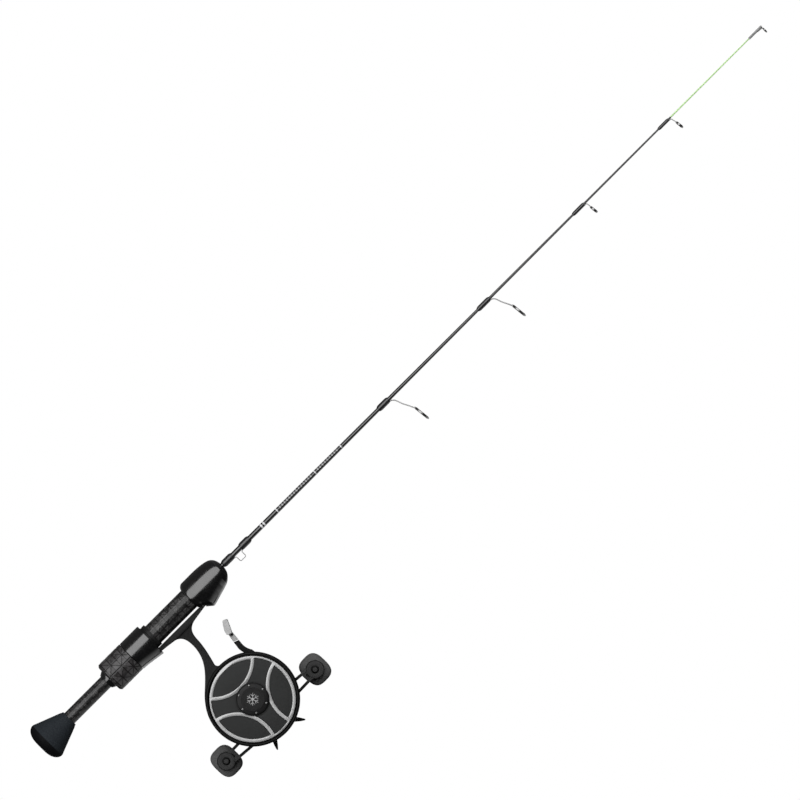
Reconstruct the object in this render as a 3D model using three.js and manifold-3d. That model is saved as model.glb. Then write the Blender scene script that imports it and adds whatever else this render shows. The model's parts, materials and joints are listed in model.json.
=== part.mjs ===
// An ice-fishing rod with an inline reel, in millimetres.
// +X runs along the rod from butt to tip, +Z is up (the reel hangs below), and +Y is the crank side.
// The origin is on the rod's axis, straight above the spool's axis, where the hand holds the reel seat.
import * as THREE from "three";
import { mergeVertices } from "three/addons/utils/BufferGeometryUtils.js";
import Module from "manifold-3d";

const wasm = await Module();
wasm.setup();

// ---- driving dimensions ----
const GAP = 0.3; // between two fixed pieces that touch on the real rod
const THIN_GAP = 0.06; // the same, around the slender blank
const BUTT_X = -133;
const TIP_X = 603.6;

const SEAT_R = 8.2; // carbon reel seat barrel
const REAR_TUBE_R = 5.2; // slim carbon grip behind the seat
const HOOD_R = 12.2; // hoods and locking nut
const HOOD_BORE_R = SEAT_R + GAP;
const HOOD_TRAVEL = 9; // the sliding hood backs off by this much
const FORE_GRIP_X = [18.8, 52.5];
const FOOT_X = [-27.4, 24.6]; // ends of the reel foot
const FOOT_TOP_Z = -9.5;
const FOOT_THICK = 3.3;
const FOOT_HALF_W = 5.5;

const REEL_Z = -83.7; // spool axis below the rod's axis
const RIM_R = 34.25;
const RIM_WALL = 2.3;
const RIM_Y = [-9.6, -5.5];
const FACE_R = 31.5; // outer flange of the spool
const FACE_Y = -8.3; // its front side
const PLATE_Y = [8, 10.3]; // back plate of the frame
const COVER_Y = [10.6, 21]; // gear cover: open edge and outer face
const COVER_R = 33.9;
const COVER_WALL = 1.7;
const SHAFT_R = 1.5;

const GEAR_MODULE = 0.7;
const MAIN_TEETH = 37;
const PINION_TEETH = 14;
const CRANK_DROP = (GEAR_MODULE * (MAIN_TEETH + PINION_TEETH)) / 2; // crank axis below the spool axis: 17.85
const CRANK_TILT = THREE.MathUtils.degToRad(-1);
const CRANK_R = 46.2; // crank axis to knob axis
const CRANK_SHAFT_R = 3;
const STAR_R = 25.5;
const TRIGGER_PIVOT = [23, 16.5]; // from the spool axis
const TRIGGER_PIN_R = 1.1;
const atPivot = (geometry) => geometry.translate(TRIGGER_PIVOT[0], 0, TRIGGER_PIVOT[1]);

const SIDES = { slim: 12, small: 20, medium: 28, large: 48 };

// ---- materials ----
const material = (color, roughness, metalness = 0) =>
  new THREE.MeshStandardMaterial({ color, roughness, metalness });
const MATERIALS = {
  rubber: material(0x14171a, 0.85),
  carbon: material(0x2c2a2b, 0.45),
  gloss: material(0x0b0b0c, 0.2),
  satin: material(0x232323, 0.5),
  panel: material(0x373939, 0.6),
  silver: material(0xa9a9a9, 0.35, 0.8),
  steel: material(0xb8babd, 0.3, 1),
  brass: material(0xb08d4a, 0.35, 1),
  blank: material(0x1b1b1c, 0.3),
  tip: material(0x9be35a, 0.4),
  thread: material(0x060606, 0.25),
  ceramic: material(0x101012, 0.2),
  knob: material(0x3b3b3b, 0.75),
  friction: material(0x1d1d1f, 0.8),
};

// ---- solids ----
// A geometry as a manifold solid, turned round if its faces point inwards.
function solid(geometry) {
  const loose = geometry.index ? geometry.toNonIndexed() : geometry;
  const bare = new THREE.BufferGeometry().setAttribute("position", loose.getAttribute("position"));
  const merged = mergeVertices(bare, 1e-4);
  const triVerts = new Uint32Array(merged.index.array);
  const vertProperties = merged.attributes.position.array;
  const made = new wasm.Manifold(new wasm.Mesh({ numProp: 3, vertProperties, triVerts }));
  if (made.volume() > 0) return made;
  for (let i = 0; i < triVerts.length; i += 3)
    [triVerts[i + 1], triVerts[i + 2]] = [triVerts[i + 2], triVerts[i + 1]];
  return new wasm.Manifold(new wasm.Mesh({ numProp: 3, vertProperties, triVerts }));
}

function geometryOf(made) {
  const mesh = made.getMesh();
  return new THREE.BufferGeometry()
    .setAttribute("position", new THREE.BufferAttribute(mesh.vertProperties, 3))
    .setIndex(new THREE.BufferAttribute(mesh.triVerts, 1));
}

const join = (...pieces) => geometryOf(pieces.map(solid).reduce((a, b) => a.add(b)));
const cut = (body, ...tools) => geometryOf(tools.map(solid).reduce((a, b) => a.subtract(b), solid(body)));

// Turns a profile of [along, radius] pairs about the Y axis. A ring's profile comes back to its first point.
const latheY = (profile, sides) =>
  new THREE.LatheGeometry(profile.map(([along, radius]) => new THREE.Vector2(radius, along)), sides);
const latheX = (profile, sides) => latheY(profile, sides).rotateZ(-Math.PI / 2);

const ringProfile = (from, to, inner, outer, bevel = 0) => [
  [from, inner],
  [from, outer - bevel],
  ...(bevel ? [[from + bevel, outer], [to - bevel, outer]] : []),
  [to, outer - bevel],
  [to, inner],
  [from, inner],
];
const ringY = (from, to, inner, outer, sides, bevel) =>
  latheY(ringProfile(from, to, inner, outer, bevel), sides);
const ringX = (from, to, inner, outer, sides, bevel) =>
  latheX(ringProfile(from, to, inner, outer, bevel), sides);
const rodY = (from, to, radius, sides) => latheY([[from, 0], [from, radius], [to, radius], [to, 0]], sides);
const rodX = (from, to, radius, sides) => latheX([[from, 0], [from, radius], [to, radius], [to, 0]], sides);

// A box from its lowest and highest corners.
function box(low, high) {
  const size = high.map((v, i) => v - low[i]);
  return new THREE.BoxGeometry(...size).translate(...low.map((v, i) => v + size[i] / 2));
}

// A shape drawn in X and Z, as thick as from y0 to y1.
function slab(shape, y0, y1, curveSegments = 10) {
  return new THREE.ExtrudeGeometry(shape, { depth: y1 - y0, bevelEnabled: false, curveSegments })
    .rotateX(Math.PI / 2)
    .translate(0, y1, 0);
}

// A round wire along a curve.
function wire(curve, radius, steps, sides = 8) {
  const section = new THREE.Shape().absarc(0, 0, radius, 0, 2 * Math.PI);
  const settings = { steps, extrudePath: curve, curveSegments: sides, bevelEnabled: false };
  return new THREE.ExtrudeGeometry(section, settings);
}

const polygon = (points) => new THREE.Shape(points.map(([x, y]) => new THREE.Vector2(x, y)));
const polar = (radius, degrees) => {
  const angle = THREE.MathUtils.degToRad(degrees);
  return [radius * Math.cos(angle), radius * Math.sin(angle)];
};

// Straight-line interpolation in a table of [along, value] pairs.
function tableAt(table, along) {
  const next = table.findIndex(([x]) => x >= along);
  if (next === 0) return table[0][1];
  if (next < 0) return table.at(-1)[1];
  const [[x0, v0], [x1, v1]] = [table[next - 1], table[next]];
  return v0 + ((v1 - v0) * (along - x0)) / (x1 - x0);
}

// Pushes the underside of a turned piece outwards by the height that the table gives at each X.
function bulgeBelow(geometry, table, coreRadius) {
  const place = geometry.getAttribute("position");
  for (let i = 0; i < place.count; i++) {
    const [x, y, z] = [place.getX(i), place.getY(i), place.getZ(i)];
    const radius = Math.hypot(y, z);
    if (z >= 0 || radius < coreRadius) continue;
    const grown = 1 + (tableAt(table, x) * (-z / radius) ** 2) / radius;
    place.setXYZ(i, x, y * grown, z * grown);
  }
  return geometry;
}

function piece(name, geometry, finish) {
  const mesh = new THREE.Mesh(geometry, MATERIALS[finish]);
  mesh.name = name;
  return mesh;
}

function group(position, rotationY, ...children) {
  const made = new THREE.Group();
  made.position.set(...position);
  made.rotation.y = rotationY;
  return made.add(...children);
}

// ---- rod: blank, tip and guides ----
const BLANK_TAPER = [
  [-30, 2.25], [60, 2.03], [130, 1.81], [190, 1.62], [237, 1.4], [338, 1.03], [424, 0.8], [510.2, 0.64],
];
const TIP_TAPER = [[510.2 + GAP, 0.56], [600, 0.45]];
const TIP_FLATNESS = 1.25; // the tip is this much wider than it is thick
const blankRadius = (x) => tableAt(BLANK_TAPER, x);

const capped = (table) => [[table[0][0], 0], ...table, [table.at(-1)[0], 0]];
const rodBlank = () => latheX(capped(BLANK_TAPER), SIDES.slim);
const quickTip = () => latheX(capped(TIP_TAPER), SIDES.slim).scale(1, TIP_FLATNESS, 1);

// foot: the two ends of the guide's foot on the blank; ring: its centre's X and Z, and its outer radius.
const GUIDES = [
  { name: "guide_1", foot: [211.5, 223.5], ring: [232.2, -23.9, 6.65], wrapR: 2.4, wireR: 0.5 },
  { name: "guide_2", foot: [313.2, 326.6], ring: [334.1, -21.2, 6.25], wrapR: 1.95, wireR: 0.5 },
  { name: "guide_3", foot: [410.2, 423.2], ring: [423.9, -7.9, 3.4], wrapR: 1.5, wireR: 0.35 },
  { name: "guide_4", foot: [497.4, 509.4], ring: [510.9, -8.4, 3.3], wrapR: 1.32, wireR: 0.35 },
];
const GUIDE_LEAN = THREE.MathUtils.degToRad(-6);
const SOLE = { halfW: 0.5, thick: 0.3 };
const soleTop = (x) => -blankRadius(x) - THIN_GAP;

// Frame of a single-foot guide: a flat foot, two legs and the seat of the ring.
function guideFrame({ foot, ring: [ringX0, ringZ, outer], wireR }) {
  const seat = ringX(-0.5, 0.5, outer - 1.3 * wireR, outer, SIDES.small)
    .rotateY(GUIDE_LEAN)
    .translate(ringX0, 0, ringZ);
  const top = soleTop(foot[0]);
  const sole = box([foot[0] + 0.5, -SOLE.halfW, top - SOLE.thick], [foot[1], SOLE.halfW, top]);
  const legs = [-1, 1].map((side) => {
    const start = new THREE.Vector3(foot[1] - 0.8, side * 0.3, top - SOLE.thick);
    const bend = new THREE.Vector3((foot[1] + ringX0) / 2, side * outer * 0.25, ringZ * 0.45);
    const end = new THREE.Vector3(ringX0 - 0.3, side * outer * 0.5, ringZ + outer * 0.84);
    return wire(new THREE.QuadraticBezierCurve3(start, bend, end), wireR, 5, 3);
  });
  return join(seat, sole, ...legs);
}

// Ceramic ring, held inside the frame's seat and rounded where the line runs.
function guideRing({ ring: [ringX0, ringZ, outer], wireR }) {
  const held = outer - 1.3 * wireR - THIN_GAP;
  const inner = held - 1.5 * wireR;
  const profile = [[-0.4, inner + 0.2], [-0.7, held - 0.2], [-0.7, held], [0.7, held], [0.7, held - 0.2]];
  return latheX([...profile, [0.4, inner + 0.2], [0, inner], [-0.4, inner + 0.2]], SIDES.small)
    .rotateY(GUIDE_LEAN)
    .translate(ringX0, 0, ringZ);
}

// Thread and epoxy over a foot, with a channel where the foot lies.
function guideWrap({ foot: [x0, soleEnd], wrapR }) {
  const x1 = soleEnd - 1;
  const inner = blankRadius(x0) + THIN_GAP;
  const end = inner + 0.25;
  const profile = [[x0, inner], [x0, end], [x0 + 2.5, wrapR], [x1 - 2.5, wrapR], [x1, end], [x1, inner]];
  const clear = SOLE.halfW + THIN_GAP;
  const top = soleTop(x0);
  const channel = box([x0 + 0.4, -clear, top - SOLE.thick - THIN_GAP], [x1 + 1, clear, top + 0.3]);
  return cut(latheX([...profile, [x0, inner]], SIDES.slim), channel);
}

const TIP_RING = { x: 602.7, z: -3.6, outer: 2.35 };

function tipGuideFrame() {
  const sleeve = ringX(590.2, TIP_X - 0.5, 0.66, 0.9, SIDES.slim);
  const { x, z, outer } = TIP_RING;
  const seat = ringX(-0.4, 0.4, outer - 0.45, outer, SIDES.small).translate(x, 0, z);
  const neck = box([x - 0.6, -0.5, z + outer - 0.2], [x + 0.4, 0.5, -0.7]);
  return join(sleeve, seat, neck);
}

function tipGuideRing() {
  const { x, z, outer } = TIP_RING;
  return ringX(-0.7, 0.7, outer - 1, outer - 0.5, SIDES.small, 0.15).translate(x, 0, z);
}

// ---- rod: hook keeper ----
const KEEPER = { x: [63.9, 69.9], z: -7.6, wireR: 0.3, feet: [58, 75.5], footZ: -2.42 };
const KEEPER_WRAPS = { rear: [53.2, 63], front: [70.8, 80.4] };
const KEEPER_CHANNELS = { rear: [57.94, 66], front: [68, 75.56] };

function keeperCurve() {
  const { x: [x0, x1], z, wireR, feet, footZ } = KEEPER;
  const bend = 1.1;
  const corners = [[feet[0], footZ], [x0 + wireR, footZ], [x0 + wireR, z + wireR], [x1 - wireR, z + wireR]];
  corners.push([x1 - wireR, footZ], [feet[1], footZ]);
  const points = corners.map(([x, zz]) => new THREE.Vector3(x, 0, zz));
  const path = new THREE.CurvePath();
  let from = points[0];
  for (let i = 1; i < points.length - 1; i++) {
    const before = points[i].clone().lerp(points[i - 1], bend / points[i].distanceTo(points[i - 1]));
    const after = points[i].clone().lerp(points[i + 1], bend / points[i].distanceTo(points[i + 1]));
    path.add(new THREE.LineCurve3(from, before));
    path.add(new THREE.QuadraticBezierCurve3(before, points[i], after));
    from = after;
  }
  path.add(new THREE.LineCurve3(from, points.at(-1)));
  return path;
}

const hookKeeper = () => wire(keeperCurve(), KEEPER.wireR, 44, 3);

// A wrap over one of the keeper's feet, with a channel where the foot lies.
function keeperWrap([x0, x1], channelX) {
  const inner = blankRadius(x0) + THIN_GAP;
  const [end, outer] = [inner + 0.35, 2.92];
  const profile = [[x0, inner], [x0, end], [x0 + 1.2, outer], [x1 - 1.2, outer], [x1, end], [x1, inner]];
  const clear = KEEPER.wireR + THIN_GAP;
  const [low, high] = [KEEPER.footZ - clear, KEEPER.footZ + clear];
  const channel = box([channelX[0], -clear, low], [channelX[1], clear, high]);
  return cut(latheX([...profile, [x0, inner]], SIDES.slim), channel);
}

// ---- rod: handle ----
const LIP = [[20, 0.2], [23.2, 0.8], [27.8, 4.5], [29, 4.6], [33, 3.6], [36, 2.7], [42, 1.5], [49, 0]];
const HOOD_LIP = [[-40, 0.4], [-36, 0.6], [-22.2, 2.6], [-22, 2.6]];
const FOOT_SLOT = { halfW: FOOT_HALF_W + 0.6, top: FOOT_TOP_Z + GAP, bottom: FOOT_TOP_Z - FOOT_THICK - 0.5 };
const footSlot = (x0, x1) =>
  box([x0, -FOOT_SLOT.halfW, FOOT_SLOT.bottom], [x1, FOOT_SLOT.halfW, FOOT_SLOT.top]);

function foreGrip() {
  const [rear, nose] = FORE_GRIP_X;
  const bore = blankRadius(50) + GAP;
  const outline = [[rear, bore], [rear, 9], [20.2, 10.9], [22.4, 11.8], [28.1, 11.8], [34, 11.75]];
  outline.push([38, 11.6], [42, 11.2], [45.2, 10.6], [47.6, 9.9], [49.3, 8.8], [50.8, 7], [51.8, 5.2]);
  outline.push([nose, bore + 0.6], [nose, bore]);
  const body = latheX([...outline, [rear, bore]], SIDES.medium);
  const socket = rodX(rear - 1, 24.6, SEAT_R + GAP, SIDES.small);
  return cut(bulgeBelow(body, LIP, SEAT_R), socket, footSlot(rear - 1, FOOT_X[1] + 1));
}

function seatBarrel() {
  const [rear, stepX, front] = [-62, -45, 24.2];
  const wide = REAR_TUBE_R + GAP;
  const narrow = BLANK_TAPER[0][1] + GAP;
  const outline = [[rear, wide], [rear, SEAT_R], [front, SEAT_R], [front, narrow], [stepX, narrow]];
  return latheX([...outline, [stepX, wide], [rear, wide]], SIDES.small);
}

function slidingHood() {
  const sleeveBore = HOOD_BORE_R + 1.25 + GAP;
  const outline = [[-40.2, HOOD_BORE_R], [-40.2, 12], [-36, HOOD_R], [-31, HOOD_R], [-26, HOOD_R]];
  outline.push([-22.4, HOOD_R], [-22, 11.8], [-22, sleeveBore], [-38, sleeveBore], [-38, HOOD_BORE_R]);
  const body = latheX([...outline, [-40.2, HOOD_BORE_R]], SIDES.medium);
  return cut(bulgeBelow(body, HOOD_LIP, 10.9), footSlot(FOOT_X[0] - 0.8, -20));
}

// The sleeve has a flat below, along the foot.
const hoodSleeve = () =>
  cut(ringX(-37.7, -18, HOOD_BORE_R, HOOD_BORE_R + 1.2, SIDES.small, 0.3), footSlot(-40, -16));

function lockNut() {
  const [rear, front] = [-62.9, -40.5];
  const outline = [[rear, HOOD_BORE_R], [rear, 10.9], [rear + 1.2, 12.35], [front - 0.3, 12.35]];
  outline.push([front, 12.05], [front, HOOD_BORE_R], [rear, HOOD_BORE_R]);
  return latheX(outline, SIDES.medium);
}

function rearCollar() {
  const bore = REAR_TUBE_R + GAP;
  const [rear, front] = [-66.2, -62.3];
  const outline = [[rear, bore], [rear, 5.9], [-63.6, 7.5], [front, 7.8], [front, bore], [rear, bore]];
  return latheX(outline, SIDES.small);
}

const rearGripTube = () => ringX(-124, -45.4, 3.4, REAR_TUBE_R, SIDES.small);

function buttCap() {
  const bore = REAR_TUBE_R + GAP;
  const outline = [[BUTT_X, 0], [BUTT_X, 5], [-132.3, 8], [-131, 11.2], [-129.4, 13.7], [-127.8, 14.8]];
  outline.push([-126.2, 15.1], [-125, 14.8], [-104, 6.7], [-103.5, 6.2], [-103.5, bore], [-124.4, bore]);
  return latheX([...outline, [-124.4, 0]], SIDES.medium);
}

// ---- reel frame: foot, stem and cage, drawn from the spool's axis ----
const FOOT_Z = FOOT_TOP_Z - REEL_Z; // the foot's top, above the spool axis

function footShape() {
  const [rear, front] = FOOT_X;
  const shape = new THREE.Shape().moveTo(rear, FOOT_Z);
  shape.lineTo(front, FOOT_Z).lineTo(front, FOOT_Z - 2.3);
  shape.quadraticCurveTo(18, FOOT_Z - 3.2, 9, FOOT_Z - 4.6);
  shape.lineTo(-9, FOOT_Z - 4.9);
  shape.quadraticCurveTo(-18, FOOT_Z - 3.6, rear, FOOT_Z - 2.9);
  return shape;
}

// The stem narrows below the foot, then sweeps back and spreads along the rim.
function stemShape() {
  const shape = new THREE.Shape().moveTo(-10, FOOT_Z - 2);
  shape.lineTo(10.5, FOOT_Z - 2).lineTo(10.5, 69.9);
  shape.bezierCurveTo(4.5, 68.5, 2.4, 65.5, 2.1, 59);
  shape.bezierCurveTo(1.9, 52, 0.2, 45, -2, 37);
  shape.quadraticCurveTo(-1.9, 34.9, 0, 34.1);
  shape.lineTo(0, RIM_R - RIM_WALL);
  shape.absarc(0, 0, RIM_R - RIM_WALL, Math.PI / 2, 0.95 * Math.PI);
  shape.lineTo(...polar(RIM_R, 171));
  shape.bezierCurveTo(-33, 13.5, -28, 21.5, -21.4, 27.7);
  shape.bezierCurveTo(-12, 36.5, -3.4, 43.5, -3.2, 57.5);
  shape.bezierCurveTo(-3.2, 65.5, -5.5, 69, -12, 69.9);
  return shape;
}

// A curved wall along the rim, between two angles in degrees.
function rimWall(from, to, y0, y1) {
  const [a, b] = [from, to].map(THREE.MathUtils.degToRad);
  const outer = RIM_R - 0.4;
  const shape = new THREE.Shape().absarc(0, 0, outer, a, b);
  shape.absarc(0, 0, RIM_R - RIM_WALL, b, a, true);
  return slab(shape, y0, y1, 6);
}

function reelFrame() {
  const wallY = RIM_Y[1] + GAP;
  const plate = ringY(...PLATE_Y, 5.4, COVER_R, SIDES.large);
  const foot = slab(footShape(), -FOOT_HALF_W, FOOT_HALF_W, 4);
  const stem = slab(stemShape(), -4, 4, 7);
  const walls = [[92, 171], [206, 228], [300, 322]].map(([a, b]) => rimWall(a, b, wallY, PLATE_Y[0] + 1));
  const pinBore = atPivot(rodY(8.8, 12, TRIGGER_PIN_R + THIN_GAP, SIDES.slim));
  return cut(join(plate, foot, stem, ...walls), ...screwBores(), pinBore);
}

const rimRing = () =>
  latheY(
    [
      [RIM_Y[1], RIM_R - RIM_WALL],
      [RIM_Y[0] + 0.5, RIM_R - RIM_WALL],
      [RIM_Y[0], RIM_R - RIM_WALL + 0.6],
      [RIM_Y[0] + 0.2, RIM_R - 0.7],
      [RIM_Y[0] + 1, RIM_R],
      [RIM_Y[1], RIM_R],
      [RIM_Y[1], RIM_R - RIM_WALL],
    ],
    SIDES.large,
  );

const COVER_SCREWS = [100, 205, 335];
const SCREW = { fromAxis: 29.6, shankR: 1, boreR: 1.3, postR: 2.9 };
const atScrew = (degrees, geometry) => {
  const [x, z] = polar(SCREW.fromAxis, degrees);
  return geometry.translate(x, 0, z);
};
const screwRods = (y0, y1, radius) =>
  COVER_SCREWS.map((degrees) => atScrew(degrees, rodY(y0, y1, radius, SIDES.slim)));
const screwBores = () => screwRods(5, 25, SCREW.boreR);

function gearCover() {
  const [edge, face] = COVER_Y;
  const inside = face - COVER_WALL;
  const shell = latheY(
    [
      [edge, COVER_R - COVER_WALL],
      [edge, COVER_R],
      [face - 2.4, COVER_R],
      [face, COVER_R - 2.4],
      [face, 6.5],
      [face + 1.3, 6],
      [face + 1.3, 0],
      [inside, 0],
      [inside, COVER_R - COVER_WALL],
      [edge, COVER_R - COVER_WALL],
    ],
    SIDES.large,
  );
  const boss = rodY(inside - 1.2, face + 2.4, 9.4, SIDES.medium).translate(0, 0, -CRANK_DROP);
  const clutchBore = rodY(inside - 2, face + 3, 7.2, SIDES.medium).translate(0, 0, -CRANK_DROP);
  const bearingBore = rodY(inside - 1, face + 0.3, 4.8, SIDES.small);
  const posts = screwRods(edge, inside + 0.5, SCREW.postR);
  const notch = box([12, edge - 1, 18], [29, edge + 4.6, 36]);
  return cut(join(shell, boss, ...posts), clutchBore, bearingBore, notch, ...screwBores());
}

function coverScrew(degrees) {
  const [tip, under] = [8.3, COVER_Y[1] + 0.1];
  const top = under + 1.3;
  const shank = [[tip, 0], [tip, SCREW.shankR], [under, SCREW.shankR]];
  const head = [[under, 2], [top - 0.3, 2], [top, 1.7], [top, 0]];
  const socket = new THREE.CylinderGeometry(0.9, 0.9, 1, 6).translate(0, top, 0);
  return atScrew(degrees, cut(latheY([...shank, ...head], SIDES.slim), socket));
}

// ---- spool ----
function spool() {
  const arbor = 19.5;
  const bore = SHAFT_R + THIN_GAP;
  const front = FACE_Y + 1.4;
  const outline = [[FACE_Y, bore], [FACE_Y, FACE_R], [front, FACE_R], [front + 0.4, arbor], [5, arbor]];
  outline.push([5.2, 30.8], [6.6, 30.8], [6.6, arbor - 1.7], [front + 0.3, arbor - 1.7], [front + 0.3, 5]);
  return latheY([...outline, [6, 5], [6, bore], [FACE_Y, bore]], SIDES.large);
}

// Three leaf-shaped windows point away from the hub. The centres of their inner arcs lie outside the rim.
const LEAF = { count: 3, centre: 40.9, edgeR: 27.55, borderR: 29.95, windowR: 28.85, spokeR: 29.85 };
const angleOnArc = (arcR, r) =>
  Math.acos(Math.min(1, (r ** 2 + LEAF.centre ** 2 - arcR ** 2) / (2 * r * LEAF.centre)));

// Points along a leaf's inner arc, from radius r0 to r1, on one side of the leaf's middle line.
function leafArc(arcR, r0, r1, middle, side, steps) {
  return Array.from({ length: steps + 1 }, (_, i) => {
    const r = r0 + ((r1 - r0) * i) / steps;
    const angle = middle + side * angleOnArc(arcR, r);
    return new THREE.Vector2(r * Math.cos(angle), r * Math.sin(angle));
  });
}

const arcPoints = (radius, from, to, steps) =>
  Array.from({ length: steps + 1 }, (_, i) => {
    const angle = from + ((to - from) * i) / steps;
    return new THREE.Vector2(radius * Math.cos(angle), radius * Math.sin(angle));
  });

function faceTrim() {
  const shape = new THREE.Shape().absarc(0, 0, FACE_R - 0.4, 0, 2 * Math.PI);
  shape.holes.push(new THREE.Path().absarc(0, 0, 6, 0, 2 * Math.PI));
  const leafNear = LEAF.centre - LEAF.edgeR;
  for (let i = 0; i < LEAF.count; i++) {
    const middle = Math.PI / 2 + (i * 2 * Math.PI) / LEAF.count;
    const reach = angleOnArc(LEAF.edgeR, LEAF.windowR);
    const window = [
      ...leafArc(LEAF.edgeR, leafNear, LEAF.windowR, middle, 1, 6),
      ...arcPoints(LEAF.windowR, middle + reach, middle - reach, 10).slice(1, -1),
      ...leafArc(LEAF.edgeR, LEAF.windowR, leafNear, middle, -1, 6).slice(0, -1),
    ];
    shape.holes.push(new THREE.Path(window));
    const next = middle + (2 * Math.PI) / LEAF.count;
    const spread = angleOnArc(LEAF.borderR, LEAF.spokeR);
    const nearR = LEAF.centre - LEAF.borderR + 0.6;
    const near = angleOnArc(LEAF.borderR, nearR);
    const spoke = [
      ...leafArc(LEAF.borderR, nearR, LEAF.spokeR, middle, 1, 5),
      ...arcPoints(LEAF.spokeR, middle + spread, next - spread, 5).slice(1, -1),
      ...leafArc(LEAF.borderR, LEAF.spokeR, nearR, next, -1, 5),
      ...arcPoints(nearR, next - near, middle + near, 5).slice(1, -1),
    ];
    shape.holes.push(new THREE.Path(spoke));
  }
  return slab(shape, FACE_Y - 0.65, FACE_Y - 0.05, 24);
}

const DIAL_R = 12.1;

function dropDial() {
  const [front, back] = [-11.4, -9.05];
  const rounded = [[-11, 10.8], [-10.2, 11.8]];
  return latheY([[front, 0], [front, 9.2], ...rounded, [back, DIAL_R], [back, 0]], SIDES.medium);
}

const DRIVE_PIN = { y: 11.55, radius: 0.6, half: 3.7, sides: 8 };

function drivePin(clearance = 0) {
  const radius = DRIVE_PIN.radius + clearance;
  return new THREE.CylinderGeometry(radius, radius, 2 * DRIVE_PIN.half, DRIVE_PIN.sides)
    .rotateZ(Math.PI / 2)
    .translate(0, DRIVE_PIN.y, 0);
}

const spoolShaft = () => cut(rodY(-8.9, 20.9, SHAFT_R, SIDES.small), drivePin(THIN_GAP));
const bearing = (from, to, outer) => ringY(from, to, SHAFT_R + 0.1, outer, SIDES.small, 0.2);

// ---- gears ----
// Outline of a spur gear with involute flanks. trim takes this much off each flank for backlash.
function gearShape(teeth, trim, phase) {
  const pressure = THREE.MathUtils.degToRad(20);
  const pitchR = (GEAR_MODULE * teeth) / 2;
  const baseR = pitchR * Math.cos(pressure);
  const tipR = pitchR + 0.85 * GEAR_MODULE;
  const rootR = pitchR - 1.2 * GEAR_MODULE;
  const involute = (angle) => Math.tan(angle) - angle;
  const halfAt = (r) => {
    const angle = Math.acos(Math.min(1, baseR / Math.max(r, baseR)));
    return Math.PI / (2 * teeth) + involute(pressure) - involute(angle) - trim / r;
  };
  const radii = [rootR, Math.max(baseR, rootR + 0.1), pitchR, tipR];
  const points = [];
  for (let i = 0; i < teeth; i++) {
    const middle = phase + (i * 2 * Math.PI) / teeth;
    const flank = radii.map((r) => [r, halfAt(r)]);
    for (const [r, half] of flank) points.push([r, middle - half]);
    for (const [r, half] of flank.reverse()) points.push([r, middle + half]);
  }
  return polygon(points.map(([r, angle]) => [r * Math.cos(angle), r * Math.sin(angle)]));
}

const TOOTH_TRIM = 0.06;
const PINION_Y = { nose: 10.9, slotEnd: 12.3, teeth: [12.5, 15.3], neck: 16.6, end: 17.3 };
const MAIN_GEAR_Y = [12.8, 15];

// The pinion's slotted nose drops over the drive pin. Its groove holds the clutch yoke.
function pinionGear() {
  const { nose, slotEnd, teeth, neck, end } = PINION_Y;
  const gear = slab(gearShape(PINION_TEETH, TOOTH_TRIM, -Math.PI / 2), teeth[0], teeth[1]);
  const [toothStart, toothEnd] = [teeth[0] + 0.1, teeth[1] - 0.1];
  const dog = [[nose, 0], [nose, 4.2], [toothStart, 4.2]];
  const groove = [[toothStart, 3.6], [toothEnd, 3.6], [toothEnd, 3], [neck, 3]];
  const core = latheY([...dog, ...groove, [neck, 4.4], [end, 4.4], [end, 0]], SIDES.small);
  const bore = rodY(nose - 1, end + 1, SHAFT_R + 0.2, SIDES.small);
  const slotHalf = DRIVE_PIN.radius + 0.2;
  const slot = box([-6, nose - 1, -slotHalf], [6, slotEnd, slotHalf]);
  return cut(join(gear, core), bore, slot);
}

function mainGear() {
  const meshPhase = Math.PI / 2 + Math.PI / MAIN_TEETH + CRANK_TILT;
  const disc = slab(gearShape(MAIN_TEETH, TOOTH_TRIM, meshPhase), ...MAIN_GEAR_Y);
  return cut(disc, rodY(0, 30, CRANK_SHAFT_R + 0.2, SIDES.small));
}

function clutchYoke() {
  const plate = [15.6, 16.4];
  const bar = polygon([[0, -4], [5, -4.2], [19.5, 8.5], [16.5, 12], [2, 4.5]]);
  const solidYoke = join(rodY(...plate, 6.3, SIDES.small), slab(bar, ...plate));
  const opening = box([-8, 0, -3.25], [0, 30, 3.25]);
  return cut(solidYoke, rodY(0, 30, 3.25, SIDES.small), opening);
}

// ---- crank, drag and knobs, drawn from the crank's axis ----
const STAR_Y = [24.4, 28];
const BAR_Y = [29, 31.2];

function crankShaft() {
  const [back, flange, end] = [11, 12.5, 33];
  const head = [[back, 0], [back, 8.6], [flange, 8.6], [flange, CRANK_SHAFT_R]];
  return latheY([...head, [end, CRANK_SHAFT_R], [end, 0]], SIDES.small);
}

const WASHER_BORE = CRANK_SHAFT_R + 0.15;
const flatWasher = (from, to) => ringY(from, to, WASHER_BORE, 8.6, SIDES.small);

// A dished washer, thin at its outer edge.
function springWasher() {
  const [edge, flat, top] = [16.75, 17.3, 17.85];
  const outer = [[edge, 5.6], [edge, 6.8], [flat, 3.8], [top, 3.8]];
  return latheY([...outer, [top, WASHER_BORE], [17.1, WASHER_BORE], [edge, 5.6]], SIDES.small);
}

const rollerClutch = () => ringY(18.2, 23.1, 4.4, 6.9, SIDES.medium, 0.3);

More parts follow.
